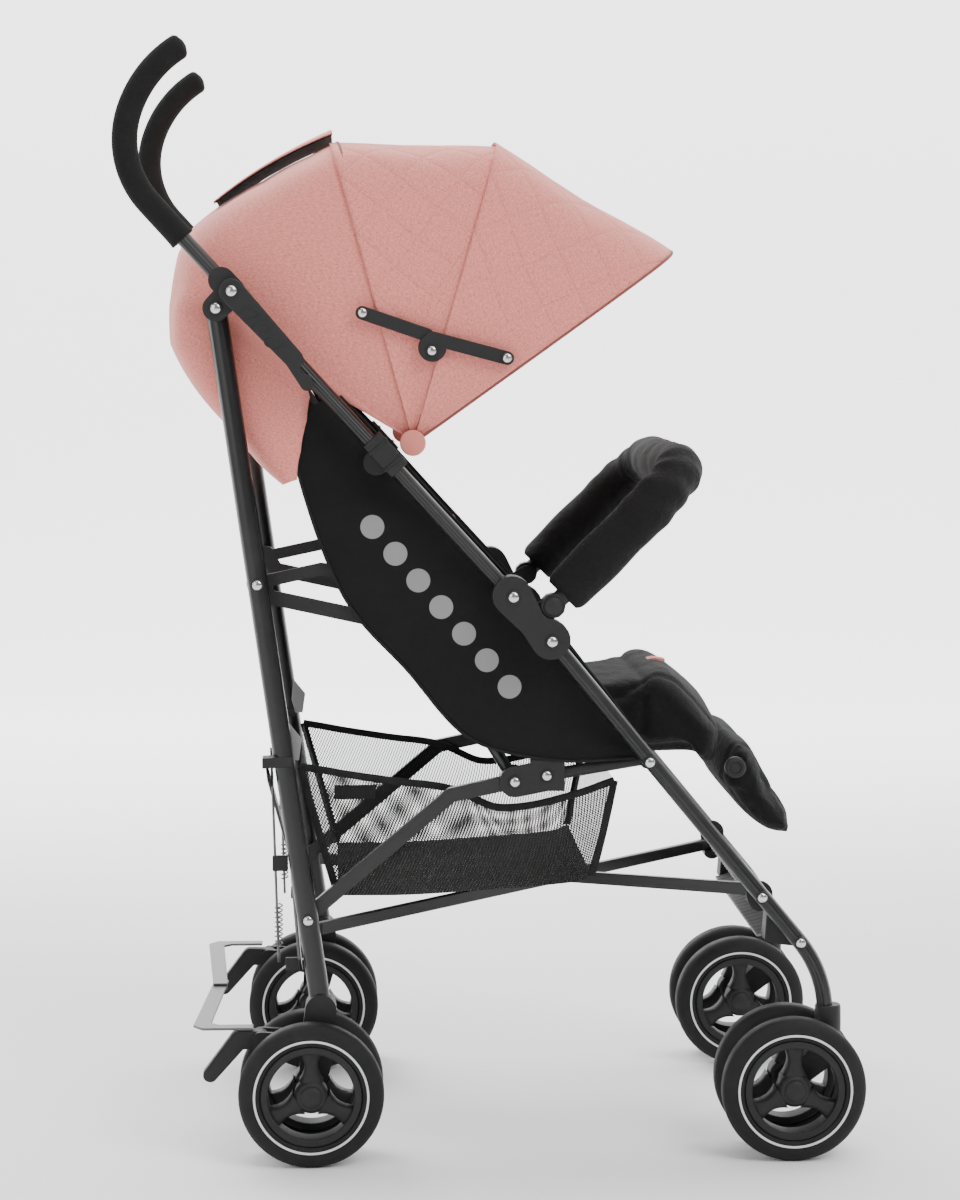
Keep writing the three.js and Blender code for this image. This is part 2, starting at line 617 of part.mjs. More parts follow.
function backrestPad() {
  const point = (s, n) => {
    const [y, z] = alongSlope(RECLINE_PIN, RECLINE_SLOPE, s);
    return alongSlope([y, z], RECLINE_SLOPE + 90, n);
  };
  const outline = [[66, -12], [250, -12], [462, -12], [474, -6], [478, 4], [474, 15], [462, 22], [300, 26], [150, 26], [74, 24]];
  place('backrest_pad', plate(polygon(outline.map(([s, n]) => point(s, n))), [-SOFT_X, SOFT_X]), COLOUR.cloth, 0.9);
}

function calfRest() {
  const outline = polygon([[-246, 400], [-252, 396], [-274, 358], [-303, 311], [-308, 298], [-302, 292], [-262, 319], [-236, 351], [-231, 366]]);
  place('calf_rest', plate(outline, [-SOFT_X + 8, SOFT_X - 8]), COLOUR.cloth, 0.9);
}

function basket() {
  const outer = polygon([[187, 380], [41, 356], [-8, 336], [-65, 346], [-121, 364], [-108, 282], [-98, 263], [142, 244], [160, 270]]);
  const inner = polygon([[200, 420], [-140, 420], [-122, 366], [-104, 281], [-95.5, 266], [141, 247.2], [157, 272], [184, 378]]);
  const open = plate(inner, [-BASKET_X + 3, BASKET_X - 3]);
  place('basket', cut(plate(outer, [-BASKET_X, BASKET_X]), open), COLOUR.mesh, 0.9);
}

function footrest() {
  const outline = polygon([
    [-262, 204], [-274, 207], [-288, 213], [-279, 226], [-266, 240], [-256, 246],
    [-254, 243], [-263, 237], [-275, 224], [-284, 213.6], [-273, 210.4], [-262, 207.5],
  ]);
  const ears = [-1, 1].map((side) => plate(link([-284, 213], FOOTREST_PIN, 5, 9), across(side, 148, 180.6)));
  place('footrest', join(plate(outline, [-154, 154]), ...ears), COLOUR.footrest, 0.6);
}

function bumperBar() {
  const armX = 182;
  const corner = 66;
  const reach = 158;
  const points = [];
  const put = (x, d) => points.push(new THREE.Vector3(x, ...alongSlope(BUMPER_FOOT, 180 - BUMPER_SLOPE, d)));
  for (const side of [-1, 1]) {
    const turns = [];
    for (let i = 0; i <= 6; i += 1) {
      const angle = (i * Math.PI) / 12;
      turns.push([armX - corner * (1 - Math.cos(angle)), reach - corner * (1 - Math.sin(angle))]);
    }
    const run = [[armX, 0], ...turns];
    for (const [x, d] of side < 0 ? run : run.reverse()) put(side * x, d);
  }
  place('bumper_bar', bentTube(points, oval(2 * BUMPER_R, 2 * BUMPER_R), 7), COLOUR.cloth, 0.9);
}

// ---- everything ----
for (const side of [-1, 1]) {
  pushTube(side);
  grip(side);
  frontLeg(side);
  upperBracket(side);
  armrestBracket(side);
  bumperKnuckle(side);
  sidePanel(side);
  seatRail(side);
  strut(side);
  backrestTube(side);
  reclineArm(side);
  rearLeg(side);
  rearFoot(side);
  brakePedal(side);
  brakeStrap(side);
  floorBracket(side);
  floorBar(side);
  rearBrace(side);
  frontFork(side);
  stretchers(side);
  for (const [end, axle] of [['front', FRONT_AXLE], ['rear', REAR_AXLE]]) {
    wheel(`${nameOf(side)}_${end}_outer_wheel`, side * (FRAME_X + WHEEL_OFFSET), axle);
    wheel(`${nameOf(side)}_${end}_inner_wheel`, side * (FRAME_X - WHEEL_OFFSET), axle);
  }
}
foldLatch();
seat();
backrestPad();
calfRest();
basket();
footrest();
bumperBar();
canopy();

export default stroller;
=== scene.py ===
"""An umbrella-fold baby stroller: twin wheels on each leg, oval frame tubes, a reclining black seat,
a quilted pink canopy on bows, a padded bumper bar, a mesh basket and a ribbed footrest.

Metres, +Z up, the child faces -Y. side is -1 on the child's right and +1 on the child's left.
"""

import json
import math

import bmesh
import bpy
import numpy as np
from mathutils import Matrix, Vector


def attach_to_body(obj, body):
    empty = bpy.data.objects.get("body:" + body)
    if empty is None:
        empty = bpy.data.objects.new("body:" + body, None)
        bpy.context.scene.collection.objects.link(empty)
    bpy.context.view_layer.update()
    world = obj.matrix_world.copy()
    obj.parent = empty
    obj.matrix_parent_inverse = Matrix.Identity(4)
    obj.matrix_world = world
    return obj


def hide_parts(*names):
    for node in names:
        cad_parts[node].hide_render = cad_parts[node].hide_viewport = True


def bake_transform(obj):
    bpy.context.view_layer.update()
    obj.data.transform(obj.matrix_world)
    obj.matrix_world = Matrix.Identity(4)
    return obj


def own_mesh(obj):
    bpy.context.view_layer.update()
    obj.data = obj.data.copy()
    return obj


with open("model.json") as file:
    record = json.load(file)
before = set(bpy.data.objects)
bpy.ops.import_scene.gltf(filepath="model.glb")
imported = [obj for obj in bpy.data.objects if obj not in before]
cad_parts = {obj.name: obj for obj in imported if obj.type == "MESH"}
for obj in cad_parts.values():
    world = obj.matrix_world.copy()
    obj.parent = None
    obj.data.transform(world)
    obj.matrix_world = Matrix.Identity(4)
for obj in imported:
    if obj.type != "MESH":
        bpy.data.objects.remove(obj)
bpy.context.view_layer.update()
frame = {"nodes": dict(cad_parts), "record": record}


# ---- hard pieces whose CAD shape is exact: brackets, cheeks, links, pedals, latch ----
# Brackets, knuckles and pedals are moulded in black glass-filled nylon, the straps are pressed steel, and
# the struts are coated tube. Each is a welded copy of its solid with its sharp edges broken.
class Wire:
    """The output of a shader node. Arithmetic on it adds Math nodes to the same tree."""

    def __init__(self, tree, socket):
        self.tree, self.socket = tree, socket

    def put(self, kind, out=0, ins=(), **settings):
        """Adds a node of this kind, sets its settings and inputs, and returns one of its outputs."""
        node = self.tree.nodes.new(kind)
        for key, value in settings.items():
            setattr(node, key, value)
        for key, value in dict(ins).items():
            if isinstance(value, Wire):
                self.tree.links.new(value.socket, node.inputs[key])
            else:
                node.inputs[key].default_value = value
        return Wire(self.tree, node.outputs[out])

    def math(self, operation, *values):
        return self.put("ShaderNodeMath", ins=dict(enumerate(values)), operation=operation)

    def step(self, low, high):
        """0 below low, 1 above high, smooth between."""
        return self.put("ShaderNodeMapRange", ins={0: self, 1: low, 2: high}, interpolation_type="SMOOTHSTEP")

    def noise(self, scale, detail=3.0, roughness=0.6):
        return self.put("ShaderNodeTexNoise", ins={"Vector": self, "Scale": scale, "Detail": detail,
                                                   "Roughness": roughness})

    def mix(self, factor, a, b):
        """A colour mix: a where factor is 0, b where it is 1."""
        return self.put("ShaderNodeMix", out=2, ins={0: factor, 6: a, 7: b}, data_type="RGBA")

    def split(self):
        """The x, y and z of a vector."""
        first = self.put("ShaderNodeSeparateXYZ", ins={0: self})
        return [Wire(self.tree, socket) for socket in first.socket.node.outputs]


for sign, operation in (("add", "ADD"), ("sub", "SUBTRACT"), ("mul", "MULTIPLY"), ("truediv", "DIVIDE")):
    setattr(Wire, f"__{sign}__", lambda self, other, kind=operation: self.math(kind, self, other))
    setattr(Wire, f"__r{sign}__", lambda self, other, kind=operation: self.math(kind, other, self))


def surface(name, paint, **fixed):
    """A material. paint(place, uv) returns the varying sockets by name, with Height for the relief."""
    material = bpy.data.materials.new(name)
    material.use_nodes = True
    tree = material.node_tree
    shader = tree.nodes["Principled BSDF"]
    for key, value in fixed.items():
        shader.inputs[key.replace("_", " ")].default_value = value
    coordinates = tree.nodes.new("ShaderNodeTexCoord")
    place, uv = (Wire(tree, coordinates.outputs[kind]) for kind in ("Object", "UV"))
    varying = paint(place, uv)
    height = varying.pop("Height", None)
    depth = varying.pop("Depth", 0.0005)
    if height is not None:
        bump = place.put("ShaderNodeBump", ins={"Strength": 1.0, "Distance": depth, "Height": height})
        tree.links.new(bump.socket, shader.inputs["Normal"])
    for key, value in varying.items():
        tree.links.new(value.socket, shader.inputs[key])
    return material


def tone(level, warmth=0.0):
    return (level * (1 + warmth), level, level * (1 - warmth), 1.0)


# Semi-gloss black powder coat: fine orange peel, a little dust.
def paint_tube(place, uv):
    dust = place.noise(14.0, 5.0).step(0.45, 0.75)
    return {"Base Color": place.mix(dust, tone(0.0060), tone(0.0105, 0.04)),
            "Roughness": 0.30 + 0.14 * dust, "Height": place.noise(900.0, 2.0), "Depth": 0.00012}


# Glass-filled nylon with a fine spark-eroded texture.
def paint_plastic(place, uv):
    wear = place.noise(30.0, 4.0)
    return {"Base Color": place.mix(wear, tone(0.0065), tone(0.012)),
            "Roughness": 0.46 + 0.16 * wear, "Height": place.noise(1500.0, 2.0), "Depth": 0.0002}


# Zinc-plated sheet steel, brushed along its length.
def paint_steel(place, uv):
    grain = place.put("ShaderNodeMapping", ins={"Vector": place, "Scale": (60.0, 60.0, 900.0)}).noise(4.0, 4.0)
    return {"Base Color": place.mix(grain, tone(0.10), tone(0.19)),
            "Roughness": 0.36 + 0.2 * grain, "Height": grain, "Depth": 0.0001}


tube_paint = surface("black_powder_coat", paint_tube, Specular_IOR_Level=0.4, Coat_Weight=0.12,
                     Coat_Roughness=0.25)
plastic = surface("black_nylon", paint_plastic, Specular_IOR_Level=0.35)
steel = surface("zinc_steel", paint_steel, Metallic=0.9)


def bevelled(piece, width, degrees=35):
    """Breaks the edges that turn more than this."""
    rounding = piece.modifiers.new("edges", "BEVEL")
    rounding.width, rounding.segments = width, 2
    rounding.angle_limit = math.radians(degrees)
    return piece


def attach(piece, body, node=None, narrows=None):
    """Hides the node it replaces and puts the piece on its body. narrows is (anchor, keep), and only whether it
    is given is read: the piece then gets its own copy of its mesh."""
    if node:
        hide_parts(node)
    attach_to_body(piece, body)
    if narrows:
        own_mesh(piece)
    return piece


def name_of(side):
    return "right" if side < 0 else "left"


MOULDED = ["upper_bracket", "armrest_bracket", "bumper_knuckle", "seat_rail", "recline_arm", "rear_foot",
           "brake_pedal", "floor_bracket", "front_fork", "stretcher_rear", "stretcher_front"]
COATED = ["strut", "backrest_tube", "floor_bar", "rear_brace", "rear_leg"]
finishes = {f"{name_of(side)}_{part}": (plastic, "plastic") for side in (-1, 1) for part in MOULDED}
finishes.update({f"{name_of(side)}_{part}": (tube_paint, "tube") for side in (-1, 1) for part in COATED})
finishes.update({f"{name_of(side)}_brake_strap": (steel, "steel") for side in (-1, 1)})
finishes["fold_latch"] = (plastic, "plastic")
body_with = {node: body for body, nodes in frame["record"]["behaviour"]["bodies"].items() for node in nodes}
for node, (material, slot) in finishes.items():
    mesh = frame["nodes"][node].data.copy()
    shape = bmesh.new()
    shape.from_mesh(mesh)
    bmesh.ops.remove_doubles(shape, verts=shape.verts, dist=2e-6)
    bmesh.ops.dissolve_limit(shape, angle_limit=math.radians(1.0), verts=shape.verts, edges=shape.edges)
    for face in shape.faces:
        face.smooth = True
    for edge in shape.edges:
        edge.smooth = len(edge.link_faces) == 2 and edge.calc_face_angle(0.0) < math.radians(38)
    shape.to_mesh(mesh)
    shape.free()
    mesh.materials.clear()
    mesh.materials.append(material)
    piece = bpy.data.objects.new(f"{node}_finished", mesh)
    bpy.context.scene.collection.objects.link(piece)
    bevelled(piece, 0.0009 if slot != "steel" else 0.0005, 38)
    attach(piece, body_with[node], node)


# ---- frame tubes ----
# Oval aluminium extrusion, powder-coated black, with three rounded lobes: each flank shows two shallow
# grooves. The push tube bends over into the handle, and the front leg bends down into its caster.
def mesh_piece(name, points, faces, material, smooth=True):
    mesh = bpy.data.meshes.new(name)
    mesh.from_pydata([tuple(p) for p in np.asarray(points).reshape(-1, 3)], [], faces)
    mesh.polygons.foreach_set("use_smooth", [smooth] * len(mesh.polygons))
    mesh.materials.append(material)
    mesh.update()
    piece = bpy.data.objects.new(name, mesh)
    bpy.context.scene.collection.objects.link(piece)
    return piece


def grid_faces(rows, columns, wrap_rows=False, wrap_columns=False):
    """Quads of a rows x columns grid of points, numbered along its columns first."""
    i, j = np.meshgrid(np.arange(rows if wrap_rows else rows - 1),
                       np.arange(columns if wrap_columns else columns - 1), indexing="ij")
    a = i * columns + j
    b = i * columns + (j + 1) % columns
    c = (i + 1) % rows * columns + (j + 1) % columns
    d = (i + 1) % rows * columns + j
    return np.stack([a, b, c, d], axis=-1).reshape(-1, 4).tolist()


def outward(piece):
    """Turns the faces of a closed piece outwards."""
    shape = bmesh.new()
    shape.from_mesh(piece.data)
    bmesh.ops.recalc_face_normals(shape, faces=shape.faces)
    shape.to_mesh(piece.data)
    shape.free()
    return piece


def smooth_by_angle(piece, degrees):
    """Shades smooth across the edges that turn less than this."""
    shape = bmesh.new()
    shape.from_mesh(piece.data)
    for edge in shape.edges:
        edge.smooth = len(edge.link_faces) == 2 and edge.calc_face_angle(0.0) < math.radians(degrees)
    shape.to_mesh(piece.data)
    shape.free()


def lofted(name, points, material, degrees=None):
    """A solid through rows of points: each row is one section, and the first and last are capped."""
    rows, columns = points.shape[:2]
    faces = grid_faces(rows, columns, wrap_columns=True)
    faces += [list(range(columns)), [(rows - 1) * columns + k for k in range(columns)]]
    piece = outward(mesh_piece(name, points, faces, material))
    if degrees:
        smooth_by_angle(piece, degrees)
    return piece


def circle(count):
    return np.linspace(0, 2 * math.pi, count, endpoint=False)


def heading(degrees):
    """Unit vectors in the side plane (y, z): along this heading above +Y, and square to it."""
    along = np.array([math.cos(math.radians(degrees)), math.sin(math.radians(degrees))])
    return along, np.array([-along[1], along[0]])


def tube(name, path, section, material):
    """section is (across X, across the path) in metres, and path is in one plane of constant x, or nearly."""
    path, section = np.asarray(path, float), np.asarray(section, float)
    along = np.gradient(path, axis=0)
    along /= np.linalg.norm(along, axis=1, keepdims=True)
    wide = np.array([1.0, 0.0, 0.0]) - along * along[:, :1]
    wide /= np.linalg.norm(wide, axis=1, keepdims=True)
    deep = np.cross(along, wide)
    points = path[:, None] + section[None, :, :1] * wide[:, None] + section[None, :, 1:] * deep[:, None]
    return lofted(name, points, material, 35)


def side_path(x, start, heading, runs, step=0.006):
    """Points in the plane x: runs are (straight length,) or (radius, turn in degrees), heading above +Y."""
    points, angle = [np.array([x, *start])], math.radians(heading)
    for run in runs:
        length = run[0] if len(run) == 1 else run[0] * abs(math.radians(run[1]))
        count = max(1, round(length / step))
        turn = 0.0 if len(run) == 1 else math.radians(run[1]) / count
        for _ in range(count):
            angle += turn / 2
            points.append(points[-1] + length / count * np.array([0, math.cos(angle), math.sin(angle)]))
            angle += turn / 2
    return np.array(points)


def grooved_oval(wide, deep, count=72):
    """(wide/2 cos a, deep/2 sin a), pulled in by two gaussian grooves on each flank."""
    angle = circle(count)
    x, y = wide / 2 * np.cos(angle), deep / 2 * np.sin(angle)
    flank = np.abs(np.cos(angle)) ** 0.5
    groove = sum(np.exp(-((y - c * deep) / (0.055 * deep)) ** 2) for c in (-0.17, 0.17))
    return np.stack([x * (1 - 0.10 * groove * flank), y], axis=-1)


TUBE_X = 0.190
PUSH_HEADING, LEG_HEADING = 47.5, 50.6
HEAD_OF_PUSH, FOOT_OF_GRIP = np.array([-0.0185, 0.5467]), np.array([0.2935, 0.886])
GRIP_RUNS = [(0.046,), (0.086, 60), (0.112, 41)]
SLEEVE = np.array([[0.0085, 0.146], [0.0115, 0.146], [0.0125, 0.1445], [0.0128, 0.130], [0.0128, 0.116],
                   [0.0122, 0.1135], [0.0080, 0.1130]])
for side in (-1, 1):
    who, x = name_of(side), side * TUBE_X
    inset = 0.007
    length = np.linalg.norm(FOOT_OF_GRIP - HEAD_OF_PUSH) - inset
    path = side_path(x, HEAD_OF_PUSH + inset * heading(PUSH_HEADING)[0], PUSH_HEADING, [(length,), *GRIP_RUNS])
    push = tube(f"{who}_oval_push_tube", path, grooved_oval(0.0175, 0.0145), tube_paint)
    attach(push, f"{who}_frame", f"{who}_push_tube")
    top = np.array([-0.0555, 0.504]) - 0.0075 * heading(LEG_HEADING)[0]
    straight = np.linalg.norm(np.array([-0.2985, 0.208]) - top)
    path = side_path(x, top, 180 + LEG_HEADING, [(straight,), (0.112, 39.4), (0.010,)])
    leg = tube(f"{who}_oval_front_leg", path, grooved_oval(0.0175, 0.0155), tube_paint)
    attach(leg, f"{who}_frame", f"{who}_front_leg")

    # The caster's bearing sleeve pressed over the end of the front leg.
    turn = circle(40)
    points = np.stack([x + SLEEVE[:, :1] * np.cos(turn), -0.327 + SLEEVE[:, :1] * np.sin(turn),
                       np.repeat(SLEEVE[:, 1:], 40, axis=1)], axis=-1)
    attach(lofted(f"{who}_caster_sleeve", points, plastic, 50), f"{who}_frame")


# ---- grips ----
# Dense black foam slid over the bent end of each push tube, with a domed tip.
# Closed-cell foam: matt, pitted, slightly mottled.
def paint_foam(place, uv):
    cells = place.put("ShaderNodeTexVoronoi", ins={"Vector": place, "Scale": 1100.0})
    return {"Base Color": place.mix(place.noise(60.0), tone(0.0060), tone(0.0125)),
            "Roughness": 0.86 + 0.1 * place.noise(200.0), "Height": cells, "Depth": 0.00035}


foam = surface("foam_grip", paint_foam, Specular_IOR_Level=0.2)
for side in (-1, 1):
    path = side_path(side * TUBE_X, FOOT_OF_GRIP, PUSH_HEADING, [*GRIP_RUNS, (0.0054,)], step=0.003)
    travelled = np.concatenate([[0], np.cumsum(np.linalg.norm(np.diff(path, axis=0), axis=1))])
    left = travelled[-1] - travelled
    radius = 0.0122 + 0.0006 * np.exp(-travelled / 0.004)
    radius = radius * np.sqrt(np.clip(1 - np.clip((0.007 - left) / 0.0072, 0, 1) ** 2, 0.02, 1))
    tangent = np.gradient(path, axis=0)
    tangent /= np.linalg.norm(tangent, axis=1, keepdims=True)
    deep = np.cross(tangent, [1.0, 0, 0])
    turn = circle(36)[None, :, None]
    around = np.cos(turn) * np.array([1.0, 0, 0]) + np.sin(turn) * deep[:, None]
    grip = lofted(f"{name_of(side)}_foam_grip", path[:, None] + radius[:, None, None] * around, foam, 60)
    attach(grip, f"{name_of(side)}_frame", f"{name_of(side)}_grip")


# ---- wheels ----
# A foam tyre with rounded shoulders on a three-spoke nylon hub, a white line round its outer face,
# and a nylon cap over the axle. The outer face of each twin looks away from its neighbour.
# Foamed tread: dull, finely pored, greyer where it scuffs the ground.
def paint_tyre(place, uv):
    scuff = place.noise(40.0, 5.0).step(0.4, 0.8)
    return {"Base Color": place.mix(scuff, tone(0.0080), tone(0.019, 0.03)),
            "Roughness": 0.62 + 0.25 * scuff, "Height": place.noise(1300.0, 2.0), "Depth": 0.0003}


rubber = surface("foam_tyre", paint_tyre, Specular_IOR_Level=0.25)


def turned(name, profile, centre, facing, material, count=64):
    """profile is (radius, distance along the axle), turned about X; facing is -1 or 1."""
    profile = np.asarray(profile, float)
    angle = circle(count)
    r, w = profile[:, :1], np.repeat(profile[:, 1:], count, axis=1)
    points = np.stack([centre[0] + facing * w, centre[1] + r * np.cos(angle), centre[2] + r * np.sin(angle)],
                      axis=-1)
    if not np.allclose(profile[0], profile[-1]):
        return lofted(name, points, material, 40)
    faces = grid_faces(len(points) - 1, count, wrap_rows=True, wrap_columns=True)
    piece = outward(mesh_piece(name, points[:-1], faces, material))
    smooth_by_angle(piece, 40)
    return piece


def rounded(corners, radius, steps=4):
    """A closed profile with each corner replaced by a quadratic curve that starts radius away from it."""
    corners = np.asarray(corners, float)
    points = []
    for before, at, after in zip(np.roll(corners, 1, 0), corners, np.roll(corners, -1, 0)):
        a = at + (before - at) * min(0.45, radius / np.linalg.norm(before - at))
        b = at + (after - at) * min(0.45, radius / np.linalg.norm(after - at))
        for t in np.linspace(0, 1, steps):
            points.append((1 - t) ** 2 * a + 2 * t * (1 - t) * at + t ** 2 * b)
    points.append(points[0])
    return points


TYRE = [(0.0485, -0.0120), (0.0550, -0.0135), (0.0625, -0.0136), (0.0700, -0.0085),
        (0.0700, 0.0085), (0.0625, 0.0136), (0.0550, 0.0135), (0.0485, 0.0120)]
RIM = [(0.0415, -0.0115), (0.0485, -0.0122), (0.0487, 0.0122), (0.0415, 0.0115)]
CORE = [(0.0048, -0.0130), (0.0130, -0.0130), (0.0160, -0.0095), (0.0165, 0.0085), (0.0130, 0.0126),
        (0.0048, 0.0130)]
LINE = [(0.0535, 0.01325), (0.0535, 0.01375), (0.0556, 0.01395), (0.0556, 0.01325), (0.0535, 0.01325)]
CAP = [(0.0104, 0.0122), (0.0104, 0.0141), (0.0086, 0.0156), (0.0046, 0.0166), (0.0010, 0.0169)]
SPOKE = np.array([(-1, -1), (-0.8, -1.15), (0.8, -1.15), (1, -1), (1, 0.75), (0.7, 1.0), (0, 1.12),
                  (-0.7, 1.0), (-1, 0.75)])
WHEEL_Z = 0.070
white_line = surface("white_line", lambda place, uv: {
    "Base Color": place.mix(place.noise(300.0), tone(0.55), tone(0.72)),
    "Roughness": 0.35 + 0.2 * place.noise(500.0)})
for side in (-1, 1):
    for end, y in (("front", -0.2895), ("rear", 0.1765)):
        for twin, facing in (("outer", side), ("inner", -side)):
            node = f"{name_of(side)}_{end}_{twin}_wheel"
            centre = (side * TUBE_X + facing * 0.0295, y, WHEEL_Z)
            parts = []
            for part, profile, material, slot, count in (
                    ("tyre", rounded(TYRE, 0.004), rubber, "tyre", 96),
                    ("line", LINE, white_line, "plastic", 96),
                    ("rim", rounded(RIM, 0.0015), plastic, "plastic", 72),
                    ("core", rounded(CORE, 0.0015), plastic, "plastic", 40),
                    ("cap", CAP, plastic, "plastic", 40)):
                parts.append((turned(f"{node}_{part}", profile, centre, facing, material, count), slot))
            # Three tapered spokes, each wider at the core and the rim than in the middle.
            reach = np.linspace(0.0140, 0.0425, 9)
            half = 0.0062 + 0.0052 * ((reach - 0.029) / 0.0145) ** 2
            crown = 0.0075 + 0.0025 * np.cos((reach - 0.014) / 0.0285 * math.pi / 2)
            for k in range(3):
                turn = math.radians(90 + 120 * k)
                radial = np.array([math.cos(turn), math.sin(turn)])
                sideways = np.array([-radial[1], radial[0]])
                plane = reach[:, None, None] * radial + (half[:, None] * SPOKE[:, 0])[..., None] * sideways
                depth = facing * crown[:, None] * SPOKE[:, 1]
                points = np.concatenate([depth[..., None] + centre[0], plane + np.array(centre[1:])], axis=-1)
                parts.append((lofted(f"{node}_spoke_{k + 1}", points, plastic, 50), "plastic"))
            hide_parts(node)
            for part, slot in parts:
                attach(part, node)


# ---- rivets ----
# Domed nickel rivets in dark washers, wherever two pieces of the frame turn on each other or meet, and a
# round button on each knuckle that frees the bumper bar.
# Bright nickel on rivet heads, slightly hazed.
def paint_rivet(place, uv):
    haze = place.noise(180.0, 3.0)
    return {"Roughness": 0.12 + 0.16 * haze, "Height": haze, "Depth": 0.00005}


nickel = surface("nickel_rivet", paint_rivet, Base_Color=(0.62, 0.62, 0.61, 1), Metallic=1.0)


def rivet(name, at, facing, body, radius=0.0052):
    """Head at `at`, looking along X in the direction facing."""
    washer = [(radius * 1.32, -0.001), (radius * 1.32, 0.0007), (radius * 1.22, 0.0012), (radius * 0.9, 0.0012)]
    angle = np.linspace(0.12, math.pi / 2 * 0.96, 7)[::-1]
    dome = [(radius, 0.0004)] + [(radius * math.sin(a), 0.0012 + radius * 0.42 * math.cos(a)) for a in angle]
    for part, profile, material, slot in (("washer", washer, plastic, "plastic"),
                                          ("head", dome, nickel, "steel")):
        attach(turned(f"{name}_{part}", profile, at, facing, material, 28), body)


for side in (-1, 1):
    who = name_of(side)
    latch = (0.213, "fold_latch") if side < 0 else (0.206, f"{who}_frame")
    for label, x, y, z, body, *radius in (
            ("latch", latch[0], 0.2475, 0.837, latch[1]),
            ("leg_top", 0.206, 0.2625, 0.821, f"{who}_frame"),
            ("armrest_upper", 0.206, -0.0185, 0.547, f"{who}_frame"),
            ("armrest_lower", 0.206, -0.0555, 0.504, f"{who}_frame"),
            ("seat", 0.1987, -0.1505, 0.386, f"{who}_frame", 0.0048),
            ("brace", 0.1987, -0.2605, 0.253, f"{who}_frame", 0.0048),
            ("footrest", 0.1987, -0.2985, 0.208, f"{who}_frame", 0.0048),
            ("strut_low", 0.200, 0.1788, 0.235, f"{who}_rear_leg", 0.0048),
            ("recline", 0.200, 0.2255, 0.559, f"{who}_rear_leg", 0.0048),
            ("sleeve_front", 0.1793, -0.0525, 0.371, f"{who}_frame", 0.0048),
            ("sleeve_rear", 0.1793, -0.0215, 0.365, f"{who}_frame", 0.0048),
            ("stretcher_rear", 0.1807, 0.1245, 0.817, f"{who}_stretcher_rear", 0.0045),
            ("stretcher_knee", 0.1837, 0.0585, 0.781, f"{who}_stretcher_front", 0.0045),
            ("stretcher_front", 0.1837, -0.0135, 0.774, f"{who}_stretcher_front", 0.0045)):
        rivet(f"{who}_rivet_{label}", (side * x, y, z), side, body, *radius)
    button = turned(f"{who}_bumper_button",
                    [(0.0085, -0.001), (0.0085, 0.0022), (0.0070, 0.0034), (0.0012, 0.0038)],
                    (side * 0.203, -0.0565, 0.538), side, plastic, 32)
    attach(button, f"{who}_bumper_knuckle")


# ---- canopy ----
# Pink cloth stretched over two bows and a front hoop, quilted in diamonds. The middle and front panels
# slide over the rear one when it folds; a short skirt falls behind the seat back.
def weave(uv, pitch):
    """Threads over and under: 0 in the gaps, 1 on the crowns. uv is in metres on the cloth."""
    u, v = (part * (math.pi / pitch) for part in uv.split()[:2])
    across = u.math("ABSOLUTE", u.math("SINE", u))
    along = u.math("ABSOLUTE", u.math("SINE", v))
    return across.math("MAXIMUM", across, along)


def melange(uv):
    """Pale and darker yarns crossing: 0 to 1. uv is in metres on the cloth."""
    weft = uv.put("ShaderNodeMapping", ins={"Vector": uv, "Scale": (260.0, 1400.0, 1.0)})
    warp = uv.put("ShaderNodeMapping", ins={"Vector": uv, "Scale": (1400.0, 260.0, 1.0)})
    return weft.noise(1.0, 3.0) * 0.55 + warp.noise(1.0, 3.0) * 0.45


def pink_yarn(yarns):
    return yarns.mix(yarns.step(0.32, 0.68), (0.53, 0.125, 0.10, 1), (0.84, 0.31, 0.255, 1))


# Pink melange with shallow diamond quilting over the top that fades out down the sides.
def paint_canopy(place, uv):
    yarns = melange(uv)
    u, v = uv.split()[:2]
    rows = [u + v * slope for slope in (1.0, -1.0)]
    near = [row.math("PINGPONG", row, 0.0285) for row in rows]
    seam = near[0].math("MINIMUM", near[0], near[1])
    crown = 1 - u.math("ABSOLUTE", u).step(0.24, 0.36)
    puff, groove = seam.step(0.0, 0.010) * crown, seam.step(0.0003, 0.0014) * crown
    return {"Base Color": pink_yarn(yarns), "Roughness": 0.84 + 0.1 * yarns,
            "Height": puff * 0.9 + groove * 0.42 + yarns * 0.35 + weave(uv, 0.0012) * 0.12,
            "Depth": 0.0010}


# The same melange without quilting.
def paint_canopy_plain(place, uv):
    yarns = melange(uv)
    return {"Base Color": pink_yarn(yarns), "Roughness": 0.84 + 0.1 * yarns,
            "Height": yarns * 0.35 + weave(uv, 0.0012) * 0.12, "Depth": 0.0010}


# Brown-red piping cord in the seams.
def paint_piping(place, uv):
    twist = place.noise(700.0, 2.0)
    return {"Base Color": place.mix(twist, (0.15, 0.035, 0.026, 1), (0.26, 0.070, 0.055, 1)),
            "Roughness": 0.8 + 0.1 * twist, "Height": twist, "Depth": 0.0003}


quilted = surface("pink_quilted_cloth", paint_canopy, Sheen_Weight=0.15, Sheen_Roughness=0.5)
pink = surface("pink_cloth", paint_canopy_plain, Sheen_Weight=0.15, Sheen_Roughness=0.5)
piping = surface("piping_cord", paint_piping)


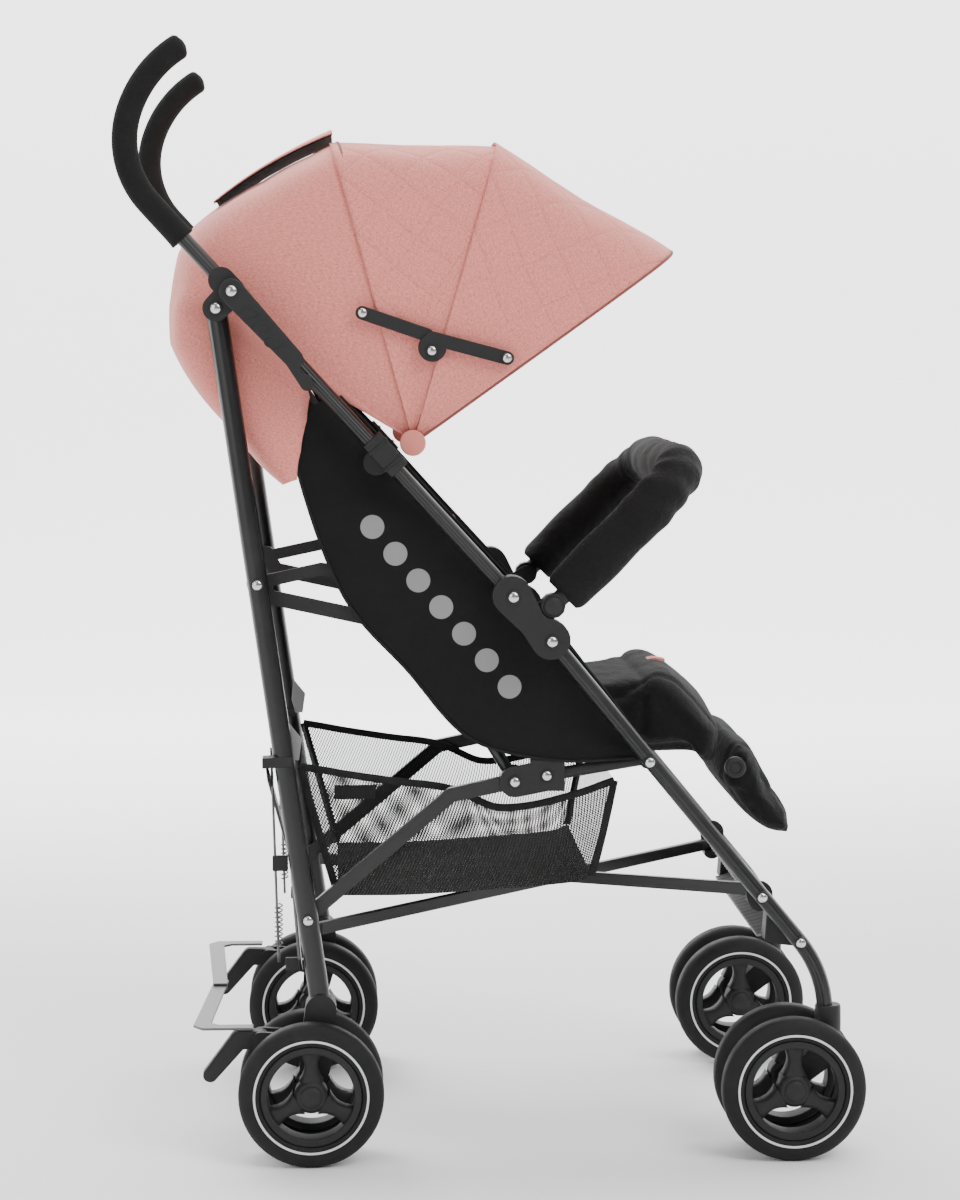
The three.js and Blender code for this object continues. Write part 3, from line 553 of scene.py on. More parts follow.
def measured_uv(piece, points):
    """UV in metres: u runs along the grid's columns and v along its rows, both by arc length."""
    u = np.concatenate([np.zeros((points.shape[0], 1)),
                        np.cumsum(np.linalg.norm(np.diff(points, axis=1), axis=2), axis=1)], axis=1)
    u -= u.mean(axis=1, keepdims=True)
    v = np.concatenate([np.zeros((1, points.shape[1])),
                        np.cumsum(np.linalg.norm(np.diff(points, axis=0), axis=2), axis=0)], axis=0)
    layer = piece.data.uv_layers.new(name="UVMap")
    index = np.empty(len(piece.data.loops), dtype=np.int32)
    piece.data.loops.foreach_get("vertex_index", index)
    index %= u.size
    layer.data.foreach_set("uv", np.stack([u.ravel()[index], v.ravel()[index]], axis=-1).ravel())


def wire(name, path, radius, material):
    """A round wire along any path, its section carried along without twist."""
    along = np.gradient(path, axis=0)
    along /= np.linalg.norm(along, axis=1, keepdims=True)
    side = np.cross(along, [0.3, 0.1, 1.0])
    side /= np.linalg.norm(side, axis=1, keepdims=True)
    up = np.cross(along, side)
    ring = ring_section(radius, 8)
    points = path[:, None] + ring[None, :, :1] * side[:, None] + ring[None, :, 1:] * up[:, None]
    return lofted(name, points, material)


def ring_section(radius, count):
    angle = circle(count)
    return radius * np.stack([np.cos(angle), np.sin(angle)], axis=-1)


HUB = np.array([0.0765, 0.693])
CANOPY_NARROWS = ((0, 0.08, 0.8), 0.26)
BOW = np.array([(0.985, 0.03), (1, 0.30), (1, 0.55), (0.99, 0.72), (0.95, 0.85), (0.87, 0.93), (0.72, 0.968),
                (0.4, 0.992), (0, 1)])


def bow_outline(count):
    """Shares of (half width, height) along half a bow, doubled to a whole one by symmetry."""
    t = np.linspace(0, len(BOW) - 1, count)
    base = np.stack([np.interp(t, range(len(BOW)), BOW[:, k]) for k in (0, 1)], axis=-1)
    for _ in range(int(count * 0.5)):
        base[1:-1] = 0.25 * base[:-2] + 0.5 * base[1:-1] + 0.25 * base[2:]
    right = base * [-1, 1]
    return np.concatenate([right, base[-2::-1]])


def walled(piece, thickness, offset=-1):
    wall = piece.modifiers.new("wall", "SOLIDIFY")
    wall.thickness, wall.offset = thickness, offset


def canopy_cloth(name, start, end, half_width, height, sag, material, rows, columns=61):
    """Revolves the bow outline about the hub from one angle to another. Between bows the cloth sags by
    sag * sin(pi v) * w, where w is 0 at the sides and 1 over the top."""
    outline = bow_outline(columns // 2 + 1)
    v = np.linspace(0, 1, rows)[:, None]
    angle = np.radians(start + (end - start) * v)
    top = height(np.degrees(angle))
    hem = np.interp(np.degrees(angle), (-20, -4, 12, 24, 29.5, 33.5, 35),
                    (0.118, 0.106, 0.101, 0.103, 0.112, 0.03, 0)) / top
    reach = (hem + (1 - hem) * outline[None, :, 1]) * top
    crown = np.clip(outline[None, :, 1], 0, 1) ** 2
    wrinkle = 0.0009 * np.sin(17 * outline[None, :, 0] + 9 * v) * np.sin(math.pi * v)
    reach = reach - sag * np.sin(math.pi * v) * crown + wrinkle
    side_pull = 1 - 0.012 * np.sin(math.pi * v) * (1 - crown)
    skirt = 0.0055 * np.clip((38 - np.degrees(angle)) / 14, 0, 1)
    x = outline[None, :, 0] * (half_width + skirt) * side_pull
    points = np.stack([x + 0 * reach, HUB[0] + reach * np.cos(angle), HUB[1] + reach * np.sin(angle)], axis=-1)
    piece = mesh_piece(name, points, grid_faces(rows, columns), material)
    measured_uv(piece, points)
    normal = piece.data.polygons[len(piece.data.polygons) // 2 + columns // 2].normal
    middle = points[rows // 2, columns // 2] - [0, *HUB]
    if normal.dot(Vector(middle)) < 0:
        piece.data.flip_normals()
    walled(piece, 0.0014)
    return piece, points


def rear_height(angle):
    """The rear panel's reach from the hub: full over the bows, drawn in down the back of the seat."""
    return np.interp(angle, (-20, -4, 5.4, 22, 38.7, 44.5, 60.5, 71, 76.3),
                     (0.1275, 0.1585, 0.1825, 0.2555, 0.2945, 0.3010, 0.2945, 0.2980, 0.3035))


def front_height(angle):
    return 0.3075 + np.clip(angle - 107.5, 0, None) * 0.00043


panels = [("canopy_rear", "seat_body", -17.5, 76.3, 0.1705, rear_height, 0.001, 96),
          ("canopy_middle", "canopy_middle", 74.8, 107.5, 0.1730, lambda a: 0.3045 + 0 * a, 0.0135, 34),
          ("canopy_front", "canopy_front", 106.2, 144.4, 0.1755, front_height, 0.0210, 38)]
for node, body, start, end, half_width, height, sag, rows in panels:
    panel, points = canopy_cloth(f"{node}_cloth", start, end, half_width, height, sag,
                                 pink if node == "canopy_rear" else quilted, rows)
    attach(panel, body, node, CANOPY_NARROWS)
    # Piping along each bow, and the hem at the front hoop.
    onward = points[-1] - points[-3]
    edge = points[-1] + 0.0006 * onward / np.linalg.norm(onward, axis=1, keepdims=True)
    hem = tube(f"{node}_piping", edge, ring_section(0.0017, 10), piping)
    attach(hem, body, narrows=CANOPY_NARROWS)

# The cloth is bound round the hub, and each knee of the stretchers has a round lug.
for side in (-1, 1):
    who = name_of(side)
    for label, radius, at, x, material, slot, body, narrows in (
            ("hub_binding", 0.0125, HUB, 0.1735, pink, "canopy_cloth", "seat_body", CANOPY_NARROWS),
            ("stretcher_lug", 0.0135, (0.0580, 0.7840), 0.1811, plastic, "plastic", f"{who}_stretcher_front",
             None)):
        disc = turned(f"{who}_{label}",
                      [(radius * 0.97, 0.0), (radius, 0.0006), (radius, 0.0016), (radius * 0.95, 0.0024),
                       (0.001, 0.0025)],
                      (side * x, *at), side, material, 40)
        attach(disc, body, narrows=narrows)
turn = np.linspace(0, 2 * math.pi, 49)
for number, (y, z) in enumerate(((0.2310, 0.8165), (0.2196, 0.8025), (0.2084, 0.7885))):
    oval = np.stack([np.full(49, -0.2128), y + 0.0082 * np.cos(turn) - 0.001 * np.sin(turn),
                     z + 0.0046 * np.sin(turn) + 0.0012 * np.cos(turn)], axis=-1)
    attach(wire(f"latch_dimple_{number + 1}", oval, 0.0007, plastic), "fold_latch")


# ---- window flap ----
# A flap over the rear window lifts a little at its front edge and shows its black lining.
# Black woven polyester on seat, panels and bumper.
def paint_cloth(place, uv):
    threads = weave(uv, 0.0011)
    lint = place.noise(25.0, 6.0)
    return {"Base Color": place.mix(lint * threads, tone(0.0045), tone(0.0125)),
            "Roughness": 0.78 + 0.16 * lint,
            "Height": threads * 0.6 + place.noise(260.0, 3.0) * 0.8, "Depth": 0.0004}


POLYESTER = {"Specular_IOR_Level": 0.15, "Sheen_Weight": 0.04, "Sheen_Roughness": 0.5}
cloth = surface("black_woven_cloth", paint_cloth, **POLYESTER)
u, v = np.meshgrid(np.linspace(-1, 1, 33), np.linspace(0, 1, 18))
angle = np.radians(76.0 - 25.0 * v)
rise = 0.3055 + 0.012 * (1 - v) ** 2 * (1 - 0.3 * u ** 2)
points = np.stack([0.078 * u, HUB[0] + rise * np.cos(angle), HUB[1] + rise * np.sin(angle) - 0.004 * u ** 2],
                  axis=-1)
for label, lift, material in (("flap", 0.0, pink), ("flap_lining", -0.0016, cloth)):
    shifted = points + [0, 0, lift]
    flap = mesh_piece(f"window_{label}", shifted, grid_faces(18, 33), material)
    measured_uv(flap, shifted)
    if flap.data.polygons[100].normal.z < 0:
        flap.data.flip_normals()
    walled(flap, 0.0012)
    attach(flap, "seat_body", narrows=CANOPY_NARROWS)


# ---- side panels ----
# Black cloth from each frame tube back to the seat back, hollowed a little and creased along its edges.
# The same cloth with a row of plain grey dots printed along the panel.
def paint_printed(place, uv):
    look = paint_cloth(place, uv)
    x, y, z = place.split()
    y, z = y - 0.0495, z - 0.535
    along, off = y * 0.648 + z * 0.762, z * 0.648 - y * 0.762
    pitch, radius, half_row = 0.034, 0.0112, 0.1186
    turns = along * (1 / pitch) + 10.5
    spot = (turns.math("FRACT", turns) - 0.5) * pitch
    reach = spot.math("SQRT", spot * spot + off * off)
    outer = place.put("ShaderNodeTexCoord", out=1).split()[0] * x
    row = 1 - along.math("ABSOLUTE", along).step(half_row, half_row + 0.0004)
    ink = outer.step(0.0, 0.01) * (1 - reach.step(radius, radius + 0.0006)) * row
    look["Base Color"] = place.mix(ink, look["Base Color"], tone(0.24))
    return look


# Narrow woven binding and webbing.
def paint_webbing(place, uv):
    ribs = weave(place, 0.0016)
    return {"Base Color": place.mix(ribs, tone(0.0055), tone(0.013)),
            "Roughness": 0.7 + 0.15 * place.noise(120.0), "Height": ribs, "Depth": 0.0004}


printed = surface("printed_black_cloth", paint_printed, **POLYESTER)
webbing = surface("black_webbing", paint_webbing, Specular_IOR_Level=0.2)


def spline(points, count):
    """Catmull-Rom through the points, evenly spaced in its own parameter."""
    p = np.asarray(points, float)
    p = np.vstack([2 * p[0] - p[1], p, 2 * p[-1] - p[-2]])
    t = np.linspace(0, len(p) - 3 - 1e-9, count)
    i, f = t.astype(int), (t % 1)[:, None]
    a, b, c, d = p[i], p[i + 1], p[i + 2], p[i + 3]
    return 0.5 * (2 * b + (c - a) * f + (2 * a - 5 * b + 4 * c - d) * f ** 2 + (3 * b - a - 3 * c + d) * f ** 3)


front = spline([(-0.150, 0.397), (-0.110, 0.452), (-0.066, 0.506), (-0.016, 0.563), (0.040, 0.624),
                (0.098, 0.688), (0.146, 0.738)], 60)
rear = spline([(-0.138, 0.388), (-0.060, 0.386), (0.022, 0.408), (0.082, 0.474), (0.142, 0.544),
               (0.182, 0.648), (0.196, 0.722)], 60)
for side in (-1, 1):
    who = name_of(side)
    t = np.linspace(0, 1, 36)[None, :, None]
    flat = front[:, None] * (1 - t) + rear[:, None] * t
    s = np.linspace(0, 1, 60)[:, None]
    t = t[..., 0]
    hollow = 0.0045 * np.sin(math.pi * s) * np.sin(math.pi * t)
    crease = 0.0011 * np.sin(26 * s + 5 * t) * np.exp(-t * 7)
    crease = crease + 0.0009 * np.sin(34 * s * (1 + 0.3 * t)) * np.exp(-(1 - t) * 8)
    drape = 0.0010 * np.sin(7 * s - 9 * t + 1) * np.sin(math.pi * t)
    tuck = np.clip((flat[..., 1] - 0.615) / 0.05, 0, 1)
    x = side * (0.1785 - 0.0085 * tuck ** 2 * (3 - 2 * tuck) - hollow + crease + drape)
    points = np.concatenate([x[..., None], flat], axis=-1)
    panel = mesh_piece(f"{who}_side_cloth", points, grid_faces(60, 36), printed)
    measured_uv(panel, points)
    if panel.data.polygons[900].normal.x * side < 0:
        panel.data.flip_normals()
    walled(panel, 0.0014)
    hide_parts(f"{who}_side_panel")
    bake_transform(panel)
    # A woven binding along the front and the rear edge.
    for label, row, body in (("front_hem", 0, f"{who}_frame"), ("rear_hem", -1, f"{who}_backrest_tube")):
        edge = points[:, row].copy()
        edge[:, 0] += side * 0.0002
        attach(tube(f"{who}_{label}", edge, ring_section(0.0015, 10), webbing), body)


# ---- padded pieces: seat, backrest, calf rest ----
# Black polyester sewn round thin foam. Each pad starts a little slim, is blown up as cloth, and keeps the
# sewn channels that cross it.
def pad_form(name, outline, half_width, material, slim=0.0035):
    """A lofted bar with the side-plane outline, pulled in between its corners and slimmer at its sides."""
    outline = np.asarray(outline, float)
    closed = spline(np.vstack([outline, outline[:1]]), 121)[:-1]
    centre = closed.mean(axis=0)
    across = np.linspace(-1, 1, 61)
    fall = np.sqrt(np.clip(1 - np.abs(across) ** 6, 0.03, 1))
    shape = centre + (closed - centre)[None] * (1 - slim / 0.03 * 0.2) * np.ones((61, 1, 1))
    middle = shape.mean(axis=1, keepdims=True)
    near = np.linalg.norm(closed - centre, axis=1)[None, :, None]
    thin = 1 - (1 - fall[:, None, None]) * np.clip(0.020 / near, 0, 1)
    shape = middle + (shape - middle) * thin
    points = np.concatenate([np.repeat((across * half_width)[:, None, None], 120, axis=1), shape], axis=-1)
    return lofted(name, points, material)


FRAMES = 20


def blown_up(piece, pressure, limit, cell):
    """Voxel remesh, then FRAMES of cloth with inner pressure; no point moves further than limit."""
    remesh = piece.modifiers.new("cells", "REMESH")
    remesh.mode, remesh.voxel_size = "VOXEL", cell
    bpy.context.view_layer.update()
    mesh = bpy.data.meshes.new_from_object(piece.evaluated_get(bpy.context.evaluated_depsgraph_get()))
    piece.modifiers.clear()
    piece.data = mesh
    start = np.empty(len(mesh.vertices) * 3)
    mesh.vertices.foreach_get("co", start)
    soft = piece.modifiers.new("cloth", "CLOTH")
    soft.settings.use_pressure, soft.settings.uniform_pressure_force = True, pressure
    soft.settings.effector_weights.gravity = 0
    soft.settings.mass, soft.settings.quality = 0.25, 4
    soft.settings.tension_stiffness = soft.settings.compression_stiffness = 12
    soft.settings.bending_stiffness = 0.15
    soft.point_cache.frame_start, soft.point_cache.frame_end = 1, FRAMES
    for number in range(1, FRAMES + 1):
        bpy.context.scene.frame_set(number)
    moved = bpy.data.meshes.new_from_object(piece.evaluated_get(bpy.context.evaluated_depsgraph_get()))
    finish = np.empty(len(moved.vertices) * 3)
    moved.vertices.foreach_get("co", finish)
    piece.modifiers.clear()
    bpy.context.scene.frame_set(1)
    step = (finish - start).reshape(-1, 3)
    size = np.linalg.norm(step, axis=1, keepdims=True)
    step *= np.minimum(1, limit / np.maximum(size, 1e-9))
    mesh.vertices.foreach_set("co", (start.reshape(-1, 3) + step).ravel())
    mesh.polygons.foreach_set("use_smooth", [True] * len(mesh.polygons))
    mesh.update()
    return piece


def sew(piece, depth_at):
    """Pushes each point in along its normal by depth_at(x, y, z) metres: sewn channels and creases."""
    mesh = piece.data
    count = len(mesh.vertices)
    place, normal = np.empty(count * 3), np.empty(count * 3)
    mesh.vertices.foreach_get("co", place)
    mesh.vertex_normals.foreach_get("vector", normal)
    place, normal = place.reshape(-1, 3), normal.reshape(-1, 3)
    place -= normal * depth_at(*place.T)[:, None]
    mesh.vertices.foreach_set("co", place.ravel())
    mesh.update()


def channel(distance, width, depth):
    return depth * np.exp(-(distance / width) ** 2)


def paint_pad(place, uv):
    turned_place = place.put("ShaderNodeMapping", ins={"Vector": place, "Rotation": (0, math.pi / 2, 0)})
    threads = weave(turned_place, 0.0012)
    lint = place.noise(25.0, 6.0)
    folds = place.put("ShaderNodeMapping", ins={"Vector": place, "Scale": (14.0, 30.0, 30.0)}).noise(1.0, 5.0)
    return {"Base Color": place.mix(lint, tone(0.0042), tone(0.0105)), "Roughness": 0.78 + 0.16 * lint,
            "Height": threads * 0.15 + folds * 4.0 + place.noise(300.0, 3.0) * 0.2, "Depth": 0.0016}


pad_cloth = surface("padded_black_cloth", paint_pad, **POLYESTER)
SEAT = [(0.028, 0.399), (0.018, 0.406), (-0.012, 0.424), (-0.060, 0.436), (-0.120, 0.443), (-0.146, 0.448),
        (-0.174, 0.457), (-0.195, 0.454), (-0.210, 0.441), (-0.231, 0.416), (-0.242, 0.400), (-0.230, 0.372),
        (-0.210, 0.391), (-0.163, 0.392), (-0.110, 0.394), (0.0, 0.392)]
CALF = [(-0.240, 0.405), (-0.251, 0.396), (-0.273, 0.358), (-0.300, 0.313), (-0.306, 0.300), (-0.301, 0.294),
        (-0.290, 0.300), (-0.262, 0.321), (-0.237, 0.353), (-0.229, 0.372)]
along, off = heading(58.2)
BACK = [np.array([-0.0215, 0.365]) + s * along + n * off for s, n in
        ((0.070, -0.010), (0.160, -0.011), (0.260, -0.011), (0.360, -0.011), (0.455, -0.011), (0.470, -0.004),
         (0.472, 0.006), (0.462, 0.018), (0.400, 0.022), (0.300, 0.024), (0.200, 0.024), (0.120, 0.023),
         (0.078, 0.020))]
SEAT_NARROWS = ((0, 0, 0.4), 0.17)
pads = (("seat_pad", "seat", "seat_body", SEAT, 0.146, 0.010),
        ("back_pad", "backrest_pad", "backrest", BACK, 0.144, 0.009),
        ("calf_pad", "calf_rest", "calf_rest", CALF, 0.138, 0.005))
for name, node, body, outline, half_width, limit in pads:
    pad = blown_up(pad_form(name, outline, half_width, pad_cloth), 4.0, limit, 0.006)
    if name == "back_pad":
        sew(pad, lambda x, y, z: sum(
            channel((y + 0.0215) * along[0] + (z - 0.365) * along[1] - s, 0.004, 0.0045)
            for s in (0.165, 0.275, 0.385)) + channel(np.abs(x) - 0.105, 0.004, 0.0035))
    elif name == "seat_pad":
        sew(pad, lambda x, y, z: channel(y + 0.150, 0.004, 0.004) + channel(y + 0.075, 0.004, 0.004)
            + channel(np.abs(x) - 0.118, 0.004, 0.003))
    else:
        sew(pad, lambda x, y, z: channel(np.abs(x) - 0.112, 0.004, 0.0025) + channel(z - 0.345, 0.003, 0.002))
    finer = pad.modifiers.new("finer", "SUBSURF")
    finer.levels = finer.render_levels = 1
    attach(pad, body, node, SEAT_NARROWS)


# ---- bumper bar ----
# A padded sleeve of black cloth over a U-shaped steel bar. It bunches in creases round the two bends, has a
# seam along its inside, and is gathered at its ends.
arm, corner, reach = 0.182, 0.066, 0.158
turn = np.linspace(0, math.pi / 2, 26)
half = np.concatenate([np.stack([np.full(34, arm), np.linspace(-0.010, reach - corner, 34)], axis=-1)[:-1],
                       np.stack([arm - corner * (1 - np.cos(turn)), reach - corner * (1 - np.sin(turn))],
                                axis=-1),
                       np.stack([np.linspace(arm - corner, 0, 30), np.full(30, reach)], axis=-1)[1:]])
line = np.concatenate([half, (half * [-1, 1])[-2::-1]])
up = math.radians(45)
path = np.stack([line[:, 0], -0.074 - line[:, 1] * math.cos(up), 0.554 + line[:, 1] * math.sin(up)], axis=-1)
tangent = np.gradient(path, axis=0)
tangent /= np.linalg.norm(tangent, axis=1, keepdims=True)
plane = np.array([0, math.sin(up), math.cos(up)])
inward = np.cross(plane, tangent)
travel = np.concatenate([[0], np.cumsum(np.linalg.norm(np.diff(path, axis=0), axis=1))])
total = travel[-1]
end = np.minimum(travel, total - travel)[:, None]
around = circle(48)[None]
bend = np.exp(-((end - 0.150) / 0.045) ** 2)
radius = 0.0232 - 0.0050 * np.exp(-end / 0.004)
radius = radius + bend * 0.0016 * np.sin(end / 0.0042 + 1.6 * np.sin(around)) * (0.55 + 0.45 * np.cos(around))
radius = radius + 0.0006 * np.sin(end / 0.011 + 2 * around) - 0.0012 * np.exp(-((end - 0.165) / 0.0025) ** 2)
radius = radius - 0.0010 * np.exp(-((around - math.pi) / 0.05) ** 2)
points = path[:, None] + radius[..., None] * (np.cos(around)[..., None] * inward[:, None]
                                              + np.sin(around)[..., None] * plane)
bumper = lofted("bumper_sleeve", points, pad_cloth, 70)
attach(bumper, "bumper", "bumper_bar", ((0, 0, 0.6), 0.30))


# ---- basket ----
# A net bag hung from bound edges under the seat; its floor sags and its top edge dips between hooks.
# Black hexagon net: thin knotted threads, open between.
def paint_net(place, uv):
    u, v = (part * (1 / pitch) for part, pitch in zip(uv.split(), (0.0042, 0.0029)))
    cells = [(u.math("FRACT", u + shift) - 0.5, u.math("FRACT", v + shift) - 0.5) for shift in (0.0, 0.5)]
    near = [u.math("SQRT", a * a + b * b) for a, b in cells]
    closest = u.math("MINIMUM", near[0], near[1])
    thread = closest.step(0.215, 0.30)
    return {"Base Color": place.mix(place.noise(90.0), tone(0.0075), tone(0.015)),
            "Alpha": thread, "Roughness": 0.7 + 0.15 * place.noise(400.0),
            "Height": thread, "Depth": 0.0003}


net = surface("basket_net", paint_net, Specular_IOR_Level=0.2)
TOP = spline([(0.186, 0.379), (0.110, 0.366), (0.041, 0.356), (-0.008, 0.337), (-0.065, 0.345),
              (-0.120, 0.363)], 50)
FLOOR = spline([(0.150, 0.250), (0.080, 0.250), (0.010, 0.254), (-0.050, 0.258), (-0.085, 0.262),
                (-0.099, 0.268)], 50)
BASKET_NARROWS = ((0, 0, 0.3), 0.26)
drop = np.linspace(0, 1, 26)
for side in (-1, 1):
    who = name_of(side)
    t = drop[None, :, None]
    wall = TOP[:, None] * (1 - t) + FLOOR[:, None] * t
    belly = np.sin(math.pi * drop)[None] * 0.004
    x = side * (0.1605 - 0.010 * drop[None] ** 3 + belly - 0.003
                * np.sin(math.pi * np.linspace(0, 1, 50))[:, None] * (1 - drop[None]))
    ripple = 0.0012 * np.sin(np.linspace(0, 40, 50))[:, None] * (1 - drop[None]) ** 2
    points = np.concatenate([(x + ripple)[..., None], wall], axis=-1)
    netting = mesh_piece(f"{who}_basket_net", points, grid_faces(50, 26), net)
    measured_uv(netting, points)
    attach(netting, "seat_body", "basket" if side < 0 else None, BASKET_NARROWS)
    for label, row in (("top", points[:, 0]), ("front", points[-1, :]), ("rear", points[0, :])):
        binding = tube(f"{who}_basket_{label}_binding", row, ring_section(0.0024, 10) * [0.5, 1.6], webbing)
        attach(binding, "seat_body", narrows=BASKET_NARROWS)
width = np.linspace(-1, 1, 41)
sag = 1 - width ** 4
for label, profile, depth in (("floor", FLOOR, 0.0045),
                              ("rear", np.stack([TOP[0] * (1 - s) + FLOOR[0] * s for s in drop]), 0.0),
                              ("front", np.stack([TOP[-1] * (1 - s) + FLOOR[-1] * s for s in drop]), 0.0)):
    rows = len(profile)
    share = np.linspace(0, 1, rows)[:, None] if label != "floor" else np.ones((rows, 1))
    x = width[None] * (0.1605 - 0.010 * share ** 3)
    z = profile[:, 1:] - depth * sag[None] * np.sin(math.pi * np.linspace(0, 1, rows))[:, None]
    y = profile[:, :1] + 0 * z
    points = np.stack([x + 0 * z, y, z], axis=-1)
    netting = mesh_piece(f"basket_{label}_net", points, grid_faces(rows, 41),
                         webbing if label == "floor" else net)
    measured_uv(netting, points)
    attach(netting, "seat_body", narrows=BASKET_NARROWS)
label_points = np.array([[[-0.1632, y, z] for z in (0.347, 0.361)] for y in (0.153, 0.113)])
tag = mesh_piece("basket_label", label_points, [[0, 1, 3, 2]], webbing, False)
attach(tag, "seat_body", narrows=BASKET_NARROWS)


# ---- footrest ----
# A curved grey plate across the front legs with ribs that run fore and aft, and a black end bracket.
# Mid-grey ribbed plastic of the footrest.
def paint_grey(place, uv):
    wear = place.noise(45.0, 5.0)
    return {"Base Color": place.mix(wear, tone(0.16), tone(0.24)),
            "Roughness": 0.5 + 0.2 * wear, "Height": place.noise(1300.0, 2.0), "Depth": 0.0002}


grey = surface("ribbed_grey_plastic", paint_grey)


def cheek(name, outline, inner, outer, material, body, edge):
    """The side-plane outline as a plate from x = inner to x = outer, with its edges broken, on one body."""
    points = np.array([[[x, *corner] for corner in outline] for x in (inner, outer)])
    piece = lofted(name, points, material, 30)
    bevelled(piece, edge)
    return attach(piece, body)


PLATE = spline([(-0.262, 0.2055), (-0.274, 0.2085), (-0.2855, 0.2135), (-0.279, 0.2255), (-0.266, 0.239),
                (-0.256, 0.245)], 40)
columns = 261
x = np.linspace(-0.154, 0.154, columns)
rib = 0.0011 * np.clip(np.cos(2 * math.pi * x / 0.0151) * 4 - 2.6, 0, 1)
run = np.gradient(PLATE, axis=0)
out = np.stack([-run[:, 1], run[:, 0]], axis=-1)
out /= np.linalg.norm(out, axis=1, keepdims=True)
face = PLATE[:, None] + out[:, None] * (0.0012 + rib[None, :, None]) * -1
points = np.concatenate([np.repeat(x[None, :, None], 40, axis=0), face], axis=-1)
plate = mesh_piece("footrest_plate", points, grid_faces(40, columns), grey)
measured_uv(plate, points)
walled(plate, 0.0026, 0)
attach(plate, "seat_body", "footrest", ((0, 0, 0.2), 0.16))
for side in (-1, 1):
    cheek(f"{name_of(side)}_footrest_bracket",
          [(-0.266, 0.207), (-0.269, 0.247), (-0.280, 0.240), (-0.301, 0.216), (-0.303, 0.207),
           (-0.297, 0.201), (-0.280, 0.203)],
          side * 0.1545, side * 0.1800, plastic, f"{name_of(side)}_frame", 0.0015)


# ---- canopy clips ----
# A split nylon clip snaps round each push tube and holds the canopy's hub to it: two raised ribs across
# its back, and a half-round tab that a thumb lifts.
along, off = heading(PUSH_HEADING)
CLIP_FOOT = np.array([0.0895, 0.668])
for side in (-1, 1):
    who = name_of(side)
    for label, low, high, deep, inner, outer in (("clip", 0.0, 0.040, 0.0105, 0.1780, 0.2008),
                                                 ("clip_rib_low", 0.008, 0.011, 0.0117, 0.1785, 0.2020),
                                                 ("clip_rib_high", 0.029, 0.032, 0.0117, 0.1785, 0.2020)):
        corners = [CLIP_FOOT + s * along + n * off
                   for s, n in ((low, -deep), (high, -deep), (high, deep), (low, deep))]
        cheek(f"{who}_{label}", corners, side * inner, side * outer, plastic, f"{who}_frame", 0.0012)
    arc = np.linspace(-math.pi / 2, math.pi / 2, 13)
    tab = [CLIP_FOOT + (0.020 + 0.013 * math.sin(a)) * along - (0.0095 + 0.015 * math.cos(a)) * off
           for a in arc]
    cheek(f"{who}_clip_tab", tab, side * 0.1785, side * 0.1815, plastic, f"{who}_frame", 0.0008)


# ---- rear lock ----
# A steel rod beside each rear leg runs from a grey pull tab through two nylon guides. A coil spring round
# it keeps the lock shut, and a collar holds its top end on the leg.
for side in (-1, 1):
    who = name_of(side)
    for label, outline, inner, outer in (
            ("lock_collar", [(0.193, 0.384), (0.222, 0.383), (0.222, 0.393), (0.193, 0.394)], 0.1795, 0.2008),
            ("lock_guide_high", [(0.198, 0.281), (0.213, 0.281), (0.213, 0.296), (0.198, 0.296)],
             0.1800, 0.1860),
            ("lock_guide_low", [(0.186, 0.183), (0.201, 0.183), (0.201, 0.196), (0.186, 0.196)],
             0.1800, 0.1860)):
        cheek(f"{who}_{label}", outline, side * inner, side * outer, plastic, f"{who}_rear_leg",
              0.001)
    cheek(f"{who}_lock_tab", [(0.184, 0.409), (0.197, 0.425), (0.199, 0.402), (0.195, 0.388), (0.187, 0.388)],
          side * 0.1790, side * 0.1805, grey, f"{who}_rear_leg", 0.0005)
    turns = np.linspace(0, 9 * 2 * math.pi, 260)
    coil = np.stack([side * 0.1765 + 0.0035 * np.cos(turns), 0.2095 + 0.0035 * np.sin(turns) - 0.002,
                     0.205 + 0.042 * turns / turns[-1]], axis=-1)
    attach(wire(f"{who}_lock_spring", coil, 0.0007, steel), f"{who}_rear_leg")
    pull = np.array([[side * 0.1765, 0.2105 + 0.03 * (z - 0.29), z] for z in np.linspace(0.19, 0.40, 20)])
    attach(wire(f"{who}_lock_rod", pull, 0.0013, steel), f"{who}_rear_leg")


# ---- harness ----
# Two shoulder straps and a crotch strap of black webbing meet at a moulded buckle. The tips of the shoulder
# straps and the tab at the front of the seat are pink.
def strap(name, path, wide, thick, material):
    """A flat band along the path, `wide` across X."""
    section = [(-wide / 2, -thick), (wide / 2, -thick), (wide / 2, thick), (-wide / 2, thick)]
    return tube(name, spline(path, 60), section, material)


for side in (-1, 1):
    shoulder = strap(f"{name_of(side)}_shoulder_strap",
                     [(side * 0.058, 0.182, 0.757), (side * 0.058, 0.128, 0.668), (side * 0.052, 0.070, 0.575),
                      (side * 0.038, 0.014, 0.490), (side * 0.012, -0.040, 0.462)], 0.024, 0.0011, webbing)
    attach(shoulder, "backrest", narrows=SEAT_NARROWS)
    tip = strap(f"{name_of(side)}_strap_tip",
                [(side * 0.057, 0.029, 0.609), (side * 0.057, 0.024, 0.602), (side * 0.057, 0.020, 0.594)],
                0.022, 0.0014, pink)
    attach(tip, "backrest", narrows=SEAT_NARROWS)
crotch = strap("crotch_strap", [(0, -0.105, 0.448), (0, -0.088, 0.468), (0, -0.062, 0.474), (0, -0.046, 0.470)],
               0.024, 0.0011, webbing)
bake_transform(crotch)
buckle = cheek("buckle", [(-0.062, 0.462), (-0.060, 0.480), (-0.036, 0.478), (-0.030, 0.468), (-0.036, 0.460)],
               -0.021, 0.021, plastic, "backrest", 0.004)
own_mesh(buckle)
